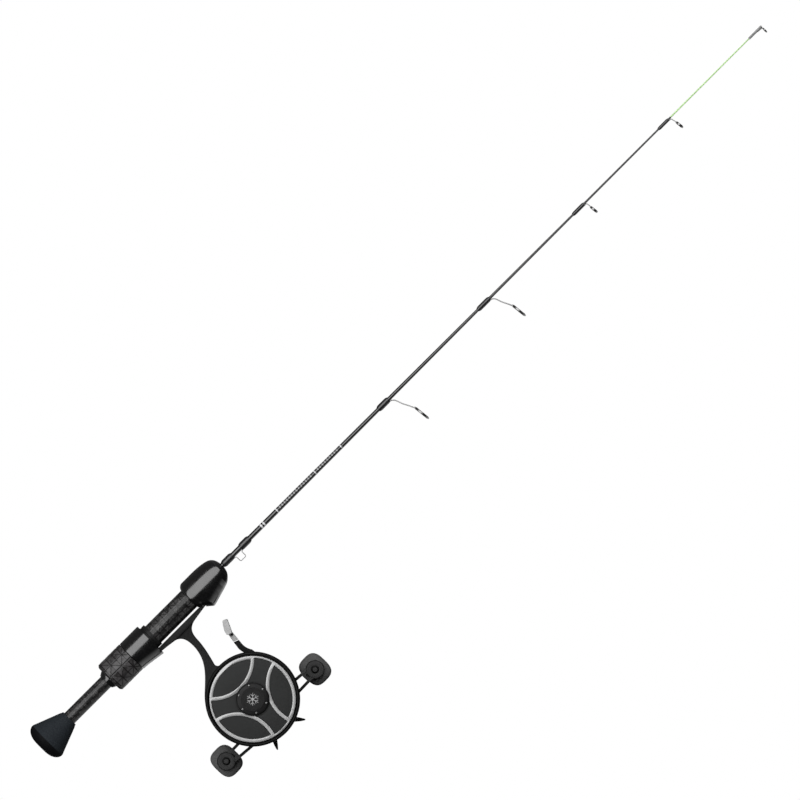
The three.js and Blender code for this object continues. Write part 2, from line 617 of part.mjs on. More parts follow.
function starDrag() {
  const arms = 5;
  const first = -90 + 180 / arms;
  const reach = [[5, 3.4], [14, 2.3], [18.2, 1.8], [23, 1], [STAR_R, 0.3]];
  const points = [];
  for (let i = 0; i < arms; i++) {
    const middle = THREE.MathUtils.degToRad(first + (i * 360) / arms);
    const side = (sign) => ([r, half]) => [
      r * Math.cos(middle) - sign * half * Math.sin(middle),
      r * Math.sin(middle) + sign * half * Math.cos(middle),
    ];
    points.push(...reach.map(side(-1)), ...[...reach].reverse().map(side(1)));
  }
  const star = slab(polygon(points), STAR_Y[0] + 0.6, STAR_Y[1] - 0.8);
  const hub = ringY(...STAR_Y, 0.5, 7.2, SIDES.medium, 0.5);
  const sleeve = rodY(18.15, STAR_Y[0] + 1, 4.2, SIDES.small);
  return cut(join(star, hub, sleeve), rodY(0, 40, WASHER_BORE, SIDES.small));
}

const WEB = { from: 36.4, half: [4.4, 3], hole: { x: 39.4, z: 0.6, half: [0.75, 1.65] } };
const POST_BORE_R = 2.2;

// A straight bar of the crank, 2.2 mm wide.
function rail(from, to) {
  const [dx, dz] = [to[0] - from[0], to[1] - from[1]];
  const half = 1.1 / Math.hypot(dx, dz);
  const [nx, nz] = [-dz * half, dx * half];
  const start = [[from[0] + nx, from[1] + nz], [from[0] - nx, from[1] - nz]];
  return slab(polygon([...start, [to[0] - nx, to[1] - nz], [to[0] + nx, to[1] + nz]]), ...BAR_Y);
}

// The plate between the rails beside an end ring, with an oval hole.
function web(side) {
  const { from, half: [high, low], hole } = WEB;
  const corners = [[from, high], [CRANK_R - 3, high + 0.8], [CRANK_R - 3, -low - 1.2], [from, -low]];
  const shape = polygon(corners.map(([x, z]) => [side * x, side * z]));
  shape.holes.push(new THREE.Path().absellipse(side * hole.x, side * hole.z, ...hole.half, 0, 2 * Math.PI));
  return slab(shape, ...BAR_Y, 6);
}

// Two rails run from the hub to each end ring. They sit on opposite sides of the middle at the two ends.
function crankBar() {
  const parts = [rodY(...BAR_Y, 8.8, SIDES.medium)];
  const bores = [rodY(0, 40, WASHER_BORE, SIDES.small)];
  for (const side of [1, -1]) {
    parts.push(rail([side * 3, side * 7.9], [side * 41.5, side * 4]));
    parts.push(rail([side * 5, side * -2.8], [side * 41.5, side * -2.5]));
    parts.push(web(side));
    parts.push(rodY(...BAR_Y, 6.8, SIDES.small).translate(side * CRANK_R, 0, 0));
    bores.push(rodY(0, 40, POST_BORE_R, SIDES.small).translate(side * CRANK_R, 0, 0));
  }
  return cut(join(...parts), ...bores);
}

function crankNut() {
  const [base, top] = [BAR_Y[1] + GAP, 35];
  const hexagon = new THREE.CylinderGeometry(5.2, 5.6, top - base, 6).translate(0, (base + top) / 2, 0);
  return cut(hexagon, rodY(base - 1, 33.4, WASHER_BORE, SIDES.small));
}

// widths in knob() are shares of half, or of neckR where the knob is round.
const KNOB = { y: [31.5, 47], half: [9.55, 11.3], neckR: 10.4, postR: 2, postEnd: 45.6 };

function knobPost(x) {
  const head = BAR_Y[0] - 0.9;
  const profile = [[head, 0], [head, 2.7], [BAR_Y[0] - 0.05, 2.7], [BAR_Y[0] - 0.05, KNOB.postR]];
  return latheY([...profile, [KNOB.postEnd, KNOB.postR], [KNOB.postEnd, 0]], SIDES.small).translate(x, 0, 0);
}

// A round neck that swells into a soft, squarish paddle.
function knob(x) {
  const [near, far] = KNOB.y;
  const bore = KNOB.postR + GAP;
  const neck = [[near, 0.62], [33, 0.67], [34.2, 0.86], [35.6, 0.96]];
  const widths = [...neck, [38, 1], [43, 1], [45.6, 0.93], [far, 0.74]];
  const outline = [[near, bore], ...widths, [far, 0], [far - 1, 0], [far - 1, bore], [near, bore]];
  const made = latheY(outline, SIDES.medium);
  const place = made.getAttribute("position");
  const squareness = 3;
  for (let i = 0; i < place.count; i++) {
    const [px, y, pz] = [place.getX(i), place.getY(i), place.getZ(i)];
    const share = Math.hypot(px, pz);
    if (share > 1.01 || share < 1e-6) continue;
    const swell = THREE.MathUtils.smoothstep(share, 0.62, 0.95);
    const [c, s] = [px / share, pz / share];
    const square = (Math.abs(c) ** squareness + Math.abs(s) ** squareness) ** (-1 / squareness);
    const reach = THREE.MathUtils.lerp(1, square, swell);
    const [halfX, halfZ] = KNOB.half;
    const wideX = share * reach * THREE.MathUtils.lerp(KNOB.neckR, halfX, swell);
    const wideZ = share * reach * THREE.MathUtils.lerp(KNOB.neckR, halfZ, swell);
    place.setXYZ(i, c * wideX, y, s * wideZ);
  }
  return made.translate(x, 0, 0);
}

// ---- trigger, drawn from the spool's axis ----
const LEVER_Y = [11.4, 14.4];
const PADDLE_Y = [-4, 14.4];

function triggerLever() {
  const [px, pz] = TRIGGER_PIVOT;
  const shape = new THREE.Shape().moveTo(px - 2.6, pz);
  shape.lineTo(20.6, 24).quadraticCurveTo(18.2, 28.5, 18.1, 33).lineTo(18.9, 38.7).lineTo(22.7, 37.2);
  shape.lineTo(22.3, 33).quadraticCurveTo(22.7, 29.5, 24.6, 25.6).lineTo(px + 2.8, pz);
  const boss = atPivot(rodY(...LEVER_Y, 3.6, SIDES.small));
  const tailCorners = [[px - 2, pz - 3], [px + 1, pz - 3], [px - 5, pz - 8], [px - 7.5, pz - 6]];
  const tail = slab(polygon(tailCorners), ...LEVER_Y);
  const cam = rodY(LEVER_Y[1] - 0.5, 15.25, 1.2, SIDES.slim).translate(px - 5.6, 0, pz - 6.6);
  const bore = atPivot(rodY(0, 30, TRIGGER_PIN_R + 0.2, SIDES.slim));
  return cut(join(slab(shape, ...LEVER_Y, 5), boss, tail, cam), bore);
}

const RIVET = { x: 21.9, z: 43.6, radius: 1.1 };

// A short neck on the lever, then a finger plate that spreads towards the rod's middle plane.
function triggerPaddle() {
  const neck = polygon([[19, 39.1], [22.8, 37.6], [23.5, 45], [20.2, 46]]);
  const plate = new THREE.Shape().moveTo(19.3, 45.9).lineTo(23.2, 44.3).lineTo(24.7, 47.2);
  plate.quadraticCurveTo(25.9, 50.4, 27.7, 53.9).lineTo(24.3, 55.5).quadraticCurveTo(21.4, 52, 20.2, 49.2);
  const hole = rodY(0, 30, RIVET.radius + THIN_GAP, SIDES.slim).translate(RIVET.x, 0, RIVET.z);
  return cut(join(slab(neck, LEVER_Y[0] + 0.2, LEVER_Y[1]), slab(plate, ...PADDLE_Y, 4)), hole);
}

const triggerRivet = () =>
  rodY(LEVER_Y[0] - 0.4, LEVER_Y[1] + 0.6, RIVET.radius, SIDES.slim).translate(RIVET.x, 0, RIVET.z);
const triggerPin = () => atPivot(rodY(9.1, 19, TRIGGER_PIN_R, SIDES.slim));

class Helix extends THREE.Curve {
  constructor(radius, from, to, turns) {
    super();
    Object.assign(this, { radius, from, to, turns });
  }
  getPoint(t) {
    const angle = 2 * Math.PI * this.turns * t;
    const along = this.from + (this.to - this.from) * t;
    return new THREE.Vector3(this.radius * Math.cos(angle), along, this.radius * Math.sin(angle));
  }
}

const triggerSpring = () => atPivot(wire(new Helix(2.1, 15.2, 18.4, 3), 0.4, 36, 3));

// ---- assembly ----
const guides = GUIDES.flatMap((guide) => [
  piece(`${guide.name}_frame`, guideFrame(guide), "steel"),
  piece(`${guide.name}_ring`, guideRing(guide), "ceramic"),
  piece(`${guide.name}_wrap`, guideWrap(guide), "thread"),
]);

const rod = group(
  [0, 0, 0],
  0,
  piece("rod_blank", rodBlank(), "blank"),
  piece("quick_tip", quickTip(), "tip"),
  piece("tip_guide_frame", tipGuideFrame(), "steel"),
  piece("tip_guide_ring", tipGuideRing(), "ceramic"),
  ...guides,
  piece("hook_keeper", hookKeeper(), "steel"),
  piece("keeper_wrap_rear", keeperWrap(KEEPER_WRAPS.rear, KEEPER_CHANNELS.rear), "thread"),
  piece("keeper_wrap_front", keeperWrap(KEEPER_WRAPS.front, KEEPER_CHANNELS.front), "thread"),
  piece("fore_grip", foreGrip(), "gloss"),
  piece("seat_barrel", seatBarrel(), "carbon"),
  piece("sliding_hood", slidingHood(), "gloss"),
  piece("hood_sleeve", hoodSleeve(), "satin"),
  piece("lock_nut", lockNut(), "carbon"),
  piece("rear_collar", rearCollar(), "gloss"),
  piece("rear_grip_tube", rearGripTube(), "carbon"),
  piece("butt_cap", buttCap(), "rubber"),
);

const crank = group(
  [0, 0, -CRANK_DROP],
  CRANK_TILT,
  piece("crank_shaft", crankShaft(), "steel"),
  piece("main_gear", mainGear(), "brass"),
  piece("carbon_washer", flatWasher(15.15, 15.75), "friction"),
  piece("steel_washer", flatWasher(15.9, 16.6), "steel"),
  piece("spring_washer", springWasher(), "steel"),
  piece("roller_clutch", rollerClutch(), "steel"),
  piece("star_drag", starDrag(), "gloss"),
  piece("crank_bar", crankBar(), "satin"),
  piece("crank_nut", crankNut(), "gloss"),
  ...[["front", CRANK_R], ["rear", -CRANK_R]].flatMap(([end, x]) => [
    piece(`knob_post_${end}`, knobPost(x), "satin"),
    piece(`knob_${end}`, knob(x), "knob"),
  ]),
);

const reel = group(
  [0, 0, REEL_Z],
  0,
  piece("reel_frame", reelFrame(), "satin"),
  piece("rim_ring", rimRing(), "gloss"),
  piece("gear_cover", gearCover(), "satin"),
  ...COVER_SCREWS.map((degrees, i) => piece(`cover_screw_${i + 1}`, coverScrew(degrees), "steel")),
  piece("spool", spool(), "panel"),
  piece("face_trim", faceTrim(), "silver"),
  piece("drop_dial", dropDial(), "gloss"),
  piece("spool_shaft", spoolShaft(), "steel"),
  piece("drive_pin", drivePin(), "steel"),
  piece("plate_bearing", bearing(7.9, 10.2, 5.1), "steel"),
  piece("cover_bearing", bearing(19.5, 21.1, 4.5), "steel"),
  piece("pinion_gear", pinionGear(), "brass"),
  piece("clutch_yoke", clutchYoke(), "steel"),
  piece("trigger_lever", triggerLever(), "gloss"),
  piece("trigger_paddle", triggerPaddle(), "silver"),
  piece("trigger_rivet", triggerRivet(), "satin"),
  piece("trigger_pin", triggerPin(), "steel"),
  piece("trigger_spring", triggerSpring(), "steel"),
  crank,
);

const iceRodAndReel = new THREE.Group();
iceRodAndReel.add(rod, reel);
export default iceRodAndReel;
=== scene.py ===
"""Visual model of an ice-fishing rod with an inline reel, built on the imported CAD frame.

Lengths are in millimetres up to the point where a mesh is made, and metres from there on. +X runs along the
rod, +Z is up and +Y is the crank side, as in the CAD frame. Pieces of the reel are drawn from the spool's
axis, and pieces of the crank from the crank's axis.
"""

import json
import math

import bmesh
import bpy
from mathutils import Matrix, Vector


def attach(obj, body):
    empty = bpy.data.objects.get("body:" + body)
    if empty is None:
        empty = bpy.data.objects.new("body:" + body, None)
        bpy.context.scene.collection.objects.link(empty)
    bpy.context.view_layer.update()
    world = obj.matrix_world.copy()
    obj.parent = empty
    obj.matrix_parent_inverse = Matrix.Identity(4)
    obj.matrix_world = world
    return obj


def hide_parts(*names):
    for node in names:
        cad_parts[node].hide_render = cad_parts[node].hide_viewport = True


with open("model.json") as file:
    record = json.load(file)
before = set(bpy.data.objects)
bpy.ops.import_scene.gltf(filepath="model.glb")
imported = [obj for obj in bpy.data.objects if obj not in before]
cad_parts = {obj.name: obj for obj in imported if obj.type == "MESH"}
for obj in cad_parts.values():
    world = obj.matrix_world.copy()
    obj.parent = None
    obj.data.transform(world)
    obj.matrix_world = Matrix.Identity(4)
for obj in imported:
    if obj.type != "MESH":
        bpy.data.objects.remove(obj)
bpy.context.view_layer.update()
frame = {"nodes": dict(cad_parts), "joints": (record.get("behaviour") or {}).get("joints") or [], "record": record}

MM = 0.001
SHARP_FROM = 32
JOINT = {joint["name"]: joint for joint in frame["joints"]}
NODES = frame["nodes"]
SLOTS = {entry["node"]: entry["material_slot"] for entry in frame["record"]["subparts"]}
BODY_OF = {node: body for body, nodes in frame["record"]["behaviour"]["bodies"].items() for node in nodes}


def joint_place(name):
    """A joint's point in millimetres."""
    return Vector(JOINT[name]["pos_m"]) / MM


SPOOL_AXIS = joint_place("spool_spin")
CRANK_AXIS = joint_place("crank_spin")
FRONT_KNOB = joint_place("front_knob_spin")
TRIGGER_PIVOT = joint_place("trigger_pull") - SPOOL_AXIS
CRANK_R = (FRONT_KNOB - CRANK_AXIS).length
CRANK_TILT = math.atan2((CRANK_AXIS - FRONT_KNOB).z, (FRONT_KNOB - CRANK_AXIS).x)

# ---- driving dimensions ----
GAP = 0.3
SEAT_R = 8.2
REAR_TUBE_R = 5.2
REAR_BORE = REAR_TUBE_R + GAP
HOOD_R = 12.2
HOOD_BORE = SEAT_R + GAP
SLEEVE_R = HOOD_BORE + 1.2
NUT_R = 12.35
NUT_TILE = 11.0
NUT_TILES_AROUND = 6
DOME_RIM_X = -126.2
BLANK_TAPER = [
    (-30, 2.25), (60, 2.03), (130, 1.81), (190, 1.62), (237, 1.4), (338, 1.03), (424, 0.8), (510.2, 0.64),
]
FOOT_TOP = -9.5
FOOT_Z = FOOT_TOP - SPOOL_AXIS.z
RIM_R = 34.25
RIM_WALL = 2.3
FACE_R = 31.5
FACE_Y = -8.3
COVER_R = 33.9
COVER_FACE_Y = 21
DIAL_R = 12.1
DIAL_SCREWS_R = 10.2
COVER_SCREWS = (100, 205, 335)
SCREW_HOLE_R = 1.3
SHAFT_HOLE_R = 3.15
TRIM_RINGS = ((92.0, 93.2), (94.6, 95.8), (108.2, 109.0), (147.0, 147.8), (173.4, 174.2))
DASHED_LINES = ((111.0, 145.0), (150.0, 171.0))


# ---- outlines ----
def polar(radius, degrees):
    angle = math.radians(degrees)
    return (radius * math.cos(angle), radius * math.sin(angle))


def arc(radius, start, end, steps):
    """Points along a circle's arc, from one angle to another in degrees."""
    return [polar(radius, start + (end - start) * i / steps) for i in range(steps + 1)]


def oval(x, z, half_x, half_z, steps):
    """A closed oval."""
    angles = [2 * math.pi * i / steps for i in range(steps)]
    return [(x + half_x * math.cos(a), z + half_z * math.sin(a)) for a in angles]


def bend(line, p1, p2, p3, steps=14):
    """The line, carried on from its last point by a cubic curve."""
    p0 = line[-1]
    points = []
    for i in range(1, steps + 1):
        t = i / steps
        weights = ((1 - t) ** 3, 3 * t * (1 - t) ** 2, 3 * t * t * (1 - t), t**3)
        points.append(tuple(sum(w * p[k] for w, p in zip(weights, (p0, p1, p2, p3))) for k in range(2)))
    return line + points


def smooth(points, steps=6):
    """A smooth line through the points, in as many dimensions as they have."""
    points = [Vector(p) for p in points]
    padded = [2 * points[0] - points[1], *points, 2 * points[-1] - points[-2]]
    line = [points[0]]
    for a, b, c, d in zip(padded, padded[1:], padded[2:], padded[3:]):
        for i in range(1, steps + 1):
            t = i / steps
            line.append(
                b + 0.5 * ((c - a) * t + (2 * a - 5 * b + 4 * c - d) * t**2 + (3 * b - a - 3 * c + d) * t**3)
            )
    return line


def rounded(points, radius, closed=False, steps=3):
    """The same outline with each corner turned into a small curve."""
    points = [Vector(p) for p in points]
    count = len(points)
    line = []
    for i, corner in enumerate(points):
        if not closed and i in (0, count - 1):
            line.append(corner)
            continue
        before, after = points[i - 1] - corner, points[(i + 1) % count] - corner
        start = corner + before.normalized() * min(radius, before.length * 0.45)
        end = corner + after.normalized() * min(radius, after.length * 0.45)
        for k in range(steps + 1):
            t = k / steps
            line.append(start * (1 - t) ** 2 + corner * 2 * t * (1 - t) + end * t * t)
    return line


def table_at(table, along):
    """Straight-line interpolation in a list of (along, value)."""
    for (x0, v0), (x1, v1) in zip(table, table[1:]):
        if along <= x1:
            share = max(0.0, (along - x0) / (x1 - x0))
            return v0 + (v1 - v0) * share
    return table[-1][1]


# ---- solids, as bmeshes in millimetres ----
def lathe(profile, axis="Y", sides=96, closed=False, reshape=None):
    """Turns (along, radius) points about an axis. reshape may then move each point."""
    shape = bmesh.new()
    rings = []
    for along, radius in profile:
        ring = []
        for i in range(1 if radius < 1e-6 else sides):
            angle = 2 * math.pi * i / sides
            across, up = radius * math.sin(angle), radius * math.cos(angle)
            point = Vector((along, across, up) if axis == "X" else (across, along, up))
            ring.append(shape.verts.new(reshape(point) if reshape else point))
        rings.append(ring)
    following = rings[1:] + (rings[:1] if closed else [])
    for ring, other in zip(rings, following):
        long_one, short_one = (ring, other) if len(ring) >= len(other) else (other, ring)
        for i in range(len(long_one)):
            j = (i + 1) % len(long_one)
            if len(long_one) == 1:
                continue
            if len(short_one) == 1:
                shape.faces.new((long_one[i], long_one[j], short_one[0]))
            else:
                shape.faces.new((long_one[i], long_one[j], short_one[j], short_one[i]))
    bmesh.ops.recalc_face_normals(shape, faces=shape.faces)
    return shape


def hollow(outline, soft, sides, axis="X"):
    """Turns a closed outline with rounded corners about an axis."""
    return lathe(rounded(outline, soft, closed=True), axis, sides, closed=True)


def plain_ring(start, end, inner, outer, sides, soft=0.3, axis="X"):
    return hollow([(start, inner), (start, outer), (end, outer), (end, inner)], soft, sides, axis)


def solid(outline, soft, sides):
    """Turns an outline that starts and ends on the Y axis, with its corners rounded."""
    return lathe(rounded(outline, soft) if soft else outline, "Y", sides)


def cylinder(y0, y1, radius, sides=64, soft=0.0):
    return solid([(y0, 0), (y0, radius), (y1, radius), (y1, 0)], soft, sides)


def mesh_of(shape, name):
    """A bmesh as mesh data. The bmesh is used up."""
    mesh = bpy.data.meshes.new(name)
    shape.to_mesh(mesh)
    shape.free()
    return mesh


def linked(name, data):
    """A new object in the scene."""
    made = bpy.data.objects.new(name, data)
    bpy.context.scene.collection.objects.link(made)
    return made


def result_of(holder):
    """What an object comes to after its modifiers, as a bmesh without doubled points."""
    evaluated = holder.evaluated_get(bpy.context.evaluated_depsgraph_get())
    mesh = bpy.data.meshes.new_from_object(evaluated)
    shape = bmesh.new()
    shape.from_mesh(mesh)
    bmesh.ops.remove_doubles(shape, verts=shape.verts, dist=1e-4)
    bpy.data.meshes.remove(mesh)
    return shape


def add_spline(curve, points):
    """Straight stretches through points in space."""
    spline = curve.splines.new("POLY")
    spline.points.add(len(points) - 1)
    for target, point in zip(spline.points, points):
        target.co = (*point, 1)
    return spline


def from_curve(curve):
    """A curve's surface as a closed bmesh. The curve is used up."""
    holder = linked("curve_to_mesh", curve)
    shape = result_of(holder)
    bpy.data.objects.remove(holder)
    bpy.data.curves.remove(curve)
    return shape


def area_of(outline):
    pairs = zip(outline, outline[1:] + outline[:1])
    return sum(a[0] * b[1] - b[0] * a[1] for a, b in pairs) / 2


def plate(outlines, y0, y1, bevel=0.25, rounds=2):
    """A flat piece drawn in X and Z, with rounded edges: a rim, then the outlines of its holes."""
    curve = bpy.data.curves.new("plate", "CURVE")
    curve.dimensions = "2D"
    curve.fill_mode = "BOTH"
    curve.extrude = (y1 - y0) / 2 - bevel
    curve.bevel_depth = bevel
    curve.bevel_resolution = rounds
    curve.offset = -bevel
    for i, outline in enumerate(outlines):
        points = [tuple(p)[:2] for p in outline]
        if (area_of(points) > 0) == (i == 0):
            points.reverse()
        add_spline(curve, [(*p, 0) for p in points]).use_cyclic_u = True
    shape = from_curve(curve)
    turn = Matrix.Translation((0, (y0 + y1) / 2, 0)) @ Matrix.Rotation(math.pi / 2, 4, "X")
    shape.transform(turn)
    bmesh.ops.recalc_face_normals(shape, faces=shape.faces)
    return shape


def wire(points, radius):
    """A round wire with closed ends along the points."""
    curve = bpy.data.curves.new("wire", "CURVE")
    curve.dimensions = "3D"
    curve.bevel_depth = radius
    curve.bevel_resolution = 3
    curve.use_fill_caps = True
    add_spline(curve, points)
    shape = from_curve(curve)
    bmesh.ops.recalc_face_normals(shape, faces=shape.faces)
    return shape


def box_shape(low, high):
    shape = bmesh.new()
    size = [b - a for a, b in zip(low, high)]
    centre = [(a + b) / 2 for a, b in zip(low, high)]
    bmesh.ops.create_cube(shape, size=1)
    shape.transform(Matrix.Translation(centre) @ Matrix.Diagonal((*size, 1)))
    return shape


def moved(shape, x=0.0, y=0.0, z=0.0):
    shape.transform(Matrix.Translation((x, y, z)))
    return shape


def turned(shape, degrees):
    """The shape after a turn about the Y axis."""
    shape.transform(Matrix.Rotation(math.radians(degrees), 4, "Y"))
    return shape


def combine(base, tools, operation):
    """The base after a boolean with each of the tools."""
    holder = linked("base", mesh_of(base, "base"))
    helpers = [linked("tool", mesh_of(tool, "tool")) for tool in tools]
    for helper in helpers:
        modifier = holder.modifiers.new("combine", "BOOLEAN")
        modifier.operation = operation
        modifier.solver = "MANIFOLD"
        modifier.object = helper
    shape = result_of(holder)
    for spent in (holder, *helpers):
        data = spent.data
        bpy.data.objects.remove(spent)
        bpy.data.meshes.remove(data)
    return shape


def cut(base, tools):
    return combine(base, tools, "DIFFERENCE")


def join(base, tools):
    return combine(base, tools, "UNION")


def together(shapes):
    """Several separate solids in one bmesh."""
    whole = bmesh.new()
    for shape in shapes:
        mesh = mesh_of(shape, "part")
        whole.from_mesh(mesh)
        bpy.data.meshes.remove(mesh)
    return whole


def piece(name, shape, material, body, replaces=(), origin=(0, 0, 0)):
    """Makes a visible piece from a bmesh in millimetres, and ties it to its body and CAD nodes."""
    shape.transform(Matrix.Scale(MM, 4) @ Matrix.Translation(origin))
    mesh = mesh_of(shape, name)
    mesh.shade_smooth()
    mesh.set_sharp_from_angle(angle=math.radians(SHARP_FROM))
    mesh.materials.append(material)
    made = linked(name, mesh)
    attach(made, body)
    if replaces:
        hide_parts(*replaces)
    return made


def fine(node, shape, material, origin=(0, 0, 0)):
    """The visible piece in place of a CAD node, on that node's own body."""
    return piece(f"{node}_fine", shape, material, BODY_OF[node], [node], origin)


# ---- material building ----
class Nodes:
    """One node tree. Methods take sockets or plain values, and one number as a colour is a grey."""

    def __init__(self, owner, coordinates):
        owner.use_nodes = True
        self.tree = owner.node_tree
        self.tree.nodes.clear()
        self.place = self.new("ShaderNodeTexCoord").outputs[coordinates]

    def new(self, kind, *values, operation=None):
        """A node with its first sockets filled."""
        node = self.tree.nodes.new(kind)
        if operation:
            node.operation = operation
        for socket, value in zip(node.inputs, values):
            self.plug(socket, value)
        return node

    def plug(self, socket, value):
        if isinstance(value, bpy.types.NodeSocket):
            self.tree.links.new(value, socket)
        elif socket.type == "RGBA":
            shade = value if isinstance(value, tuple) else (value,) * 3
            socket.default_value = (*shade, 1)
        else:
            socket.default_value = value

    def math(self, operation, *values):
        return self.new("ShaderNodeMath", *values, operation=operation).outputs[0]

    def split(self, vector=None):
        return self.new("ShaderNodeSeparateXYZ", vector or self.place).outputs

    def vector(self, x, y, z):
        return self.new("ShaderNodeCombineXYZ", x, y, z).outputs[0]

    def stretch(self, scale):
        node = self.new("ShaderNodeMapping", self.place)
        node.inputs["Scale"].default_value = scale
        return node.outputs[0]

    def noise(self, size_mm, detail=2.0, roughness=0.5, vector=None):
        """Noise with features about this many millimetres across."""
        node = self.new("ShaderNodeTexNoise", vector or self.place)
        node.inputs["Scale"].default_value = 1000 / size_mm
        node.inputs["Detail"].default_value = detail
        node.inputs["Roughness"].default_value = roughness
        return node.outputs["Fac"]

    def ramp(self, value, low, high, start=0.0, end=1.0):
        node = self.new("ShaderNodeMapRange", value, low, high, start, end)
        node.interpolation_type = "SMOOTHSTEP"
        return node.outputs[0]

    def mix(self, share, first, second):
        node = self.new("ShaderNodeMix")
        node.data_type = "RGBA"
        self.plug(node.inputs["Factor"], share)
        self.plug(node.inputs[6], first)
        self.plug(node.inputs[7], second)
        return node.outputs[2]

    def between(self, value, start, end):
        """1 where the value lies between start and end, else 0."""
        above = self.math("GREATER_THAN", value, start)
        return self.math("MULTIPLY", above, self.math("LESS_THAN", value, end))


class Surface(Nodes):
    """One material round a principled shader, in the piece's own coordinates."""

    def __init__(self, name, **settings):
        self.material = bpy.data.materials.new(name)
        super().__init__(self.material, "Object")
        self.output = self.new("ShaderNodeOutputMaterial")
        self.shader = self.new("ShaderNodeBsdfPrincipled")
        self.plug(self.output.inputs["Surface"], self.shader.outputs["BSDF"])
        for name_of, value in settings.items():
            self.set(name_of.replace("_", " ").title().replace("Ior", "IOR"), value)

    def set(self, name, value):
        self.plug(self.shader.inputs[name], value)
        return self

    def colour(self, share, first, second):
        return self.set("Base Color", self.mix(share, first, second))

    def bump(self, height, depth_mm):
        """Relief as deep as depth_mm where height runs from 0 to 1. A second call adds to the first."""
        node = self.new("ShaderNodeBump")
        node.inputs["Strength"].default_value = 1.0
        node.inputs["Distance"].default_value = depth_mm * MM
        self.plug(node.inputs["Height"], height)
        normal = self.shader.inputs["Normal"]
        if normal.is_linked:
            self.plug(node.inputs["Normal"], normal.links[0].from_socket)
        self.plug(normal, node.outputs[0])
        return self


def speckled(surface, dark, light, size_mm):
    """Base colour that wanders between two close shades."""
    surface.colour(surface.ramp(surface.noise(size_mm, 3), 0.35, 0.65), dark, light)


def smudged(surface, least, most, size_mm=9):
    """Roughness that wanders a little, as handled surfaces do."""
    cloud = surface.noise(size_mm, 4, 0.6)
    surface.set("Roughness", surface.ramp(cloud, 0.3, 0.7, least, most))


def make_rubber():
    surface = Surface("rubber_black", specular_ior_level=0.06)
    grain = surface.ramp(surface.noise(0.8, 3), 0.35, 0.65)
    cone = surface.mix(grain, (0.010, 0.012, 0.0145), (0.015, 0.018, 0.021))
    # The domed end is painted near black: painted shade on the end that faces away from the light. The cone keeps
    # its own grain.
    painted_dome_shade_edge = surface.ramp(surface.split()[0], DOME_RIM_X * MM, (DOME_RIM_X + 0.6) * MM)
    surface.colour(painted_dome_shade_edge, (0.002, 0.002, 0.0025), cone)
    smudged(surface, 0.62, 0.85, 6)
    surface.bump(surface.noise(0.35, 4, 0.7), 0.06)
    surface.bump(surface.noise(2.5, 2), 0.05)
    return surface.material


def make_gloss():
    surface = Surface("gloss_black", specular_ior_level=0.5, coat_weight=0.5, coat_roughness=0.12)
    speckled(surface, (0.002, 0.002, 0.0021), (0.004, 0.004, 0.0042), 1.5)
    smudged(surface, 0.14, 0.25)
    surface.bump(surface.noise(3.5, 2), 0.006)
    return surface.material


def make_satin(name, dark, light, grain_mm=0.3, roughness=(0.42, 0.58), specular=0.3, relief=0.02):
    surface = Surface(name, specular_ior_level=specular)
    speckled(surface, dark, light, grain_mm * 1.6)
    smudged(surface, *roughness)
    surface.bump(surface.noise(grain_mm, 3, 0.6), relief)
    return surface.material


def make_spool_grey():
    surface = Surface("blasted_grey", specular_ior_level=0.2, metallic=0.15)
    grain = surface.noise(0.22, 3, 0.7)
    cloud = surface.noise(14, 2)
    shade = surface.math("MULTIPLY_ADD", cloud, 0.3, surface.math("MULTIPLY", grain, 0.7))
    surface.colour(surface.ramp(shade, 0.3, 0.7), (0.0088, 0.0093, 0.0092), (0.0132, 0.0137, 0.0136))
    surface.set("Roughness", surface.ramp(grain, 0.2, 0.8, 0.5, 0.66))
    surface.bump(grain, 0.025)
    return surface.material


def make_silver():
    """Satin silver with fine turning marks round the spool's axis."""
    surface = Surface("satin_silver", metallic=0.55, specular_ior_level=0.4)
    x, _, z = surface.split()
    height = surface.math("SUBTRACT", z, SPOOL_AXIS.z * MM)
    radius = surface.math(
        "SQRT", surface.math("ADD", surface.math("POWER", x, 2), surface.math("POWER", height, 2))
    )
    lines = surface.noise(0.5, 3, 0.7, surface.vector(radius, 0.0, 0.0))
    surface.colour(surface.ramp(lines, 0.3, 0.7), 0.22, 0.30)
    surface.set("Roughness", surface.ramp(lines, 0.3, 0.7, 0.34, 0.5))
    surface.bump(lines, 0.012)
    return surface.material


def make_paddle():
    """Smooth satin metal."""
    surface = Surface("satin_metal", specular_ior_level=0.1)
    speckled(surface, 0.27, 0.31, 4)
    smudged(surface, 0.4, 0.5)
    surface.bump(surface.noise(3, 2), 0.003)
    return surface.material


def make_bar():
    """Black rails and end rings, joined by grey webs. Inside the webs, everything deeper than the front face is
    painted black: painted shade on the floor of each blind slot and on the back.
    """
    surface = Surface("bar_coating", specular_ior_level=0.15)
    x, y, _ = surface.split()
    outward = surface.math("ABSOLUTE", x)
    grain = surface.ramp(surface.noise(0.5, 3), 0.35, 0.65)
    rails = surface.mix(grain, 0.003, 0.006)
    webs = surface.mix(grain, 0.021, 0.028)
    within = surface.math(
        "MULTIPLY", surface.ramp(outward, 0.0362, 0.0366), surface.ramp(outward, 0.0424, 0.0420)
    )
    # Deeper than the front face the webs are painted black: painted shade in the blind slots and on the back.
    front_web_clear_of_painted_shade = surface.math("MULTIPLY", within, surface.ramp(y, 0.0302, 0.0298))
    surface.colour(front_web_clear_of_painted_shade, rails, webs)
    smudged(surface, 0.4, 0.55)
    surface.bump(surface.noise(0.3, 3, 0.6), 0.012)
    return surface.material


def make_steel(name="polished_steel", colour=(0.62, 0.62, 0.63), least=0.16, most=0.3):
    surface = Surface(name, metallic=1.0)
    lines = surface.noise(0.35, 3, 0.7, surface.stretch((0.15, 1, 1)))
    worn = tuple(c * 0.75 for c in colour)
    surface.colour(surface.ramp(lines, 0.3, 0.7), worn, colour)
    surface.set("Roughness", surface.ramp(lines, 0.25, 0.75, least, most))
    surface.bump(lines, 0.006)
    return surface.material


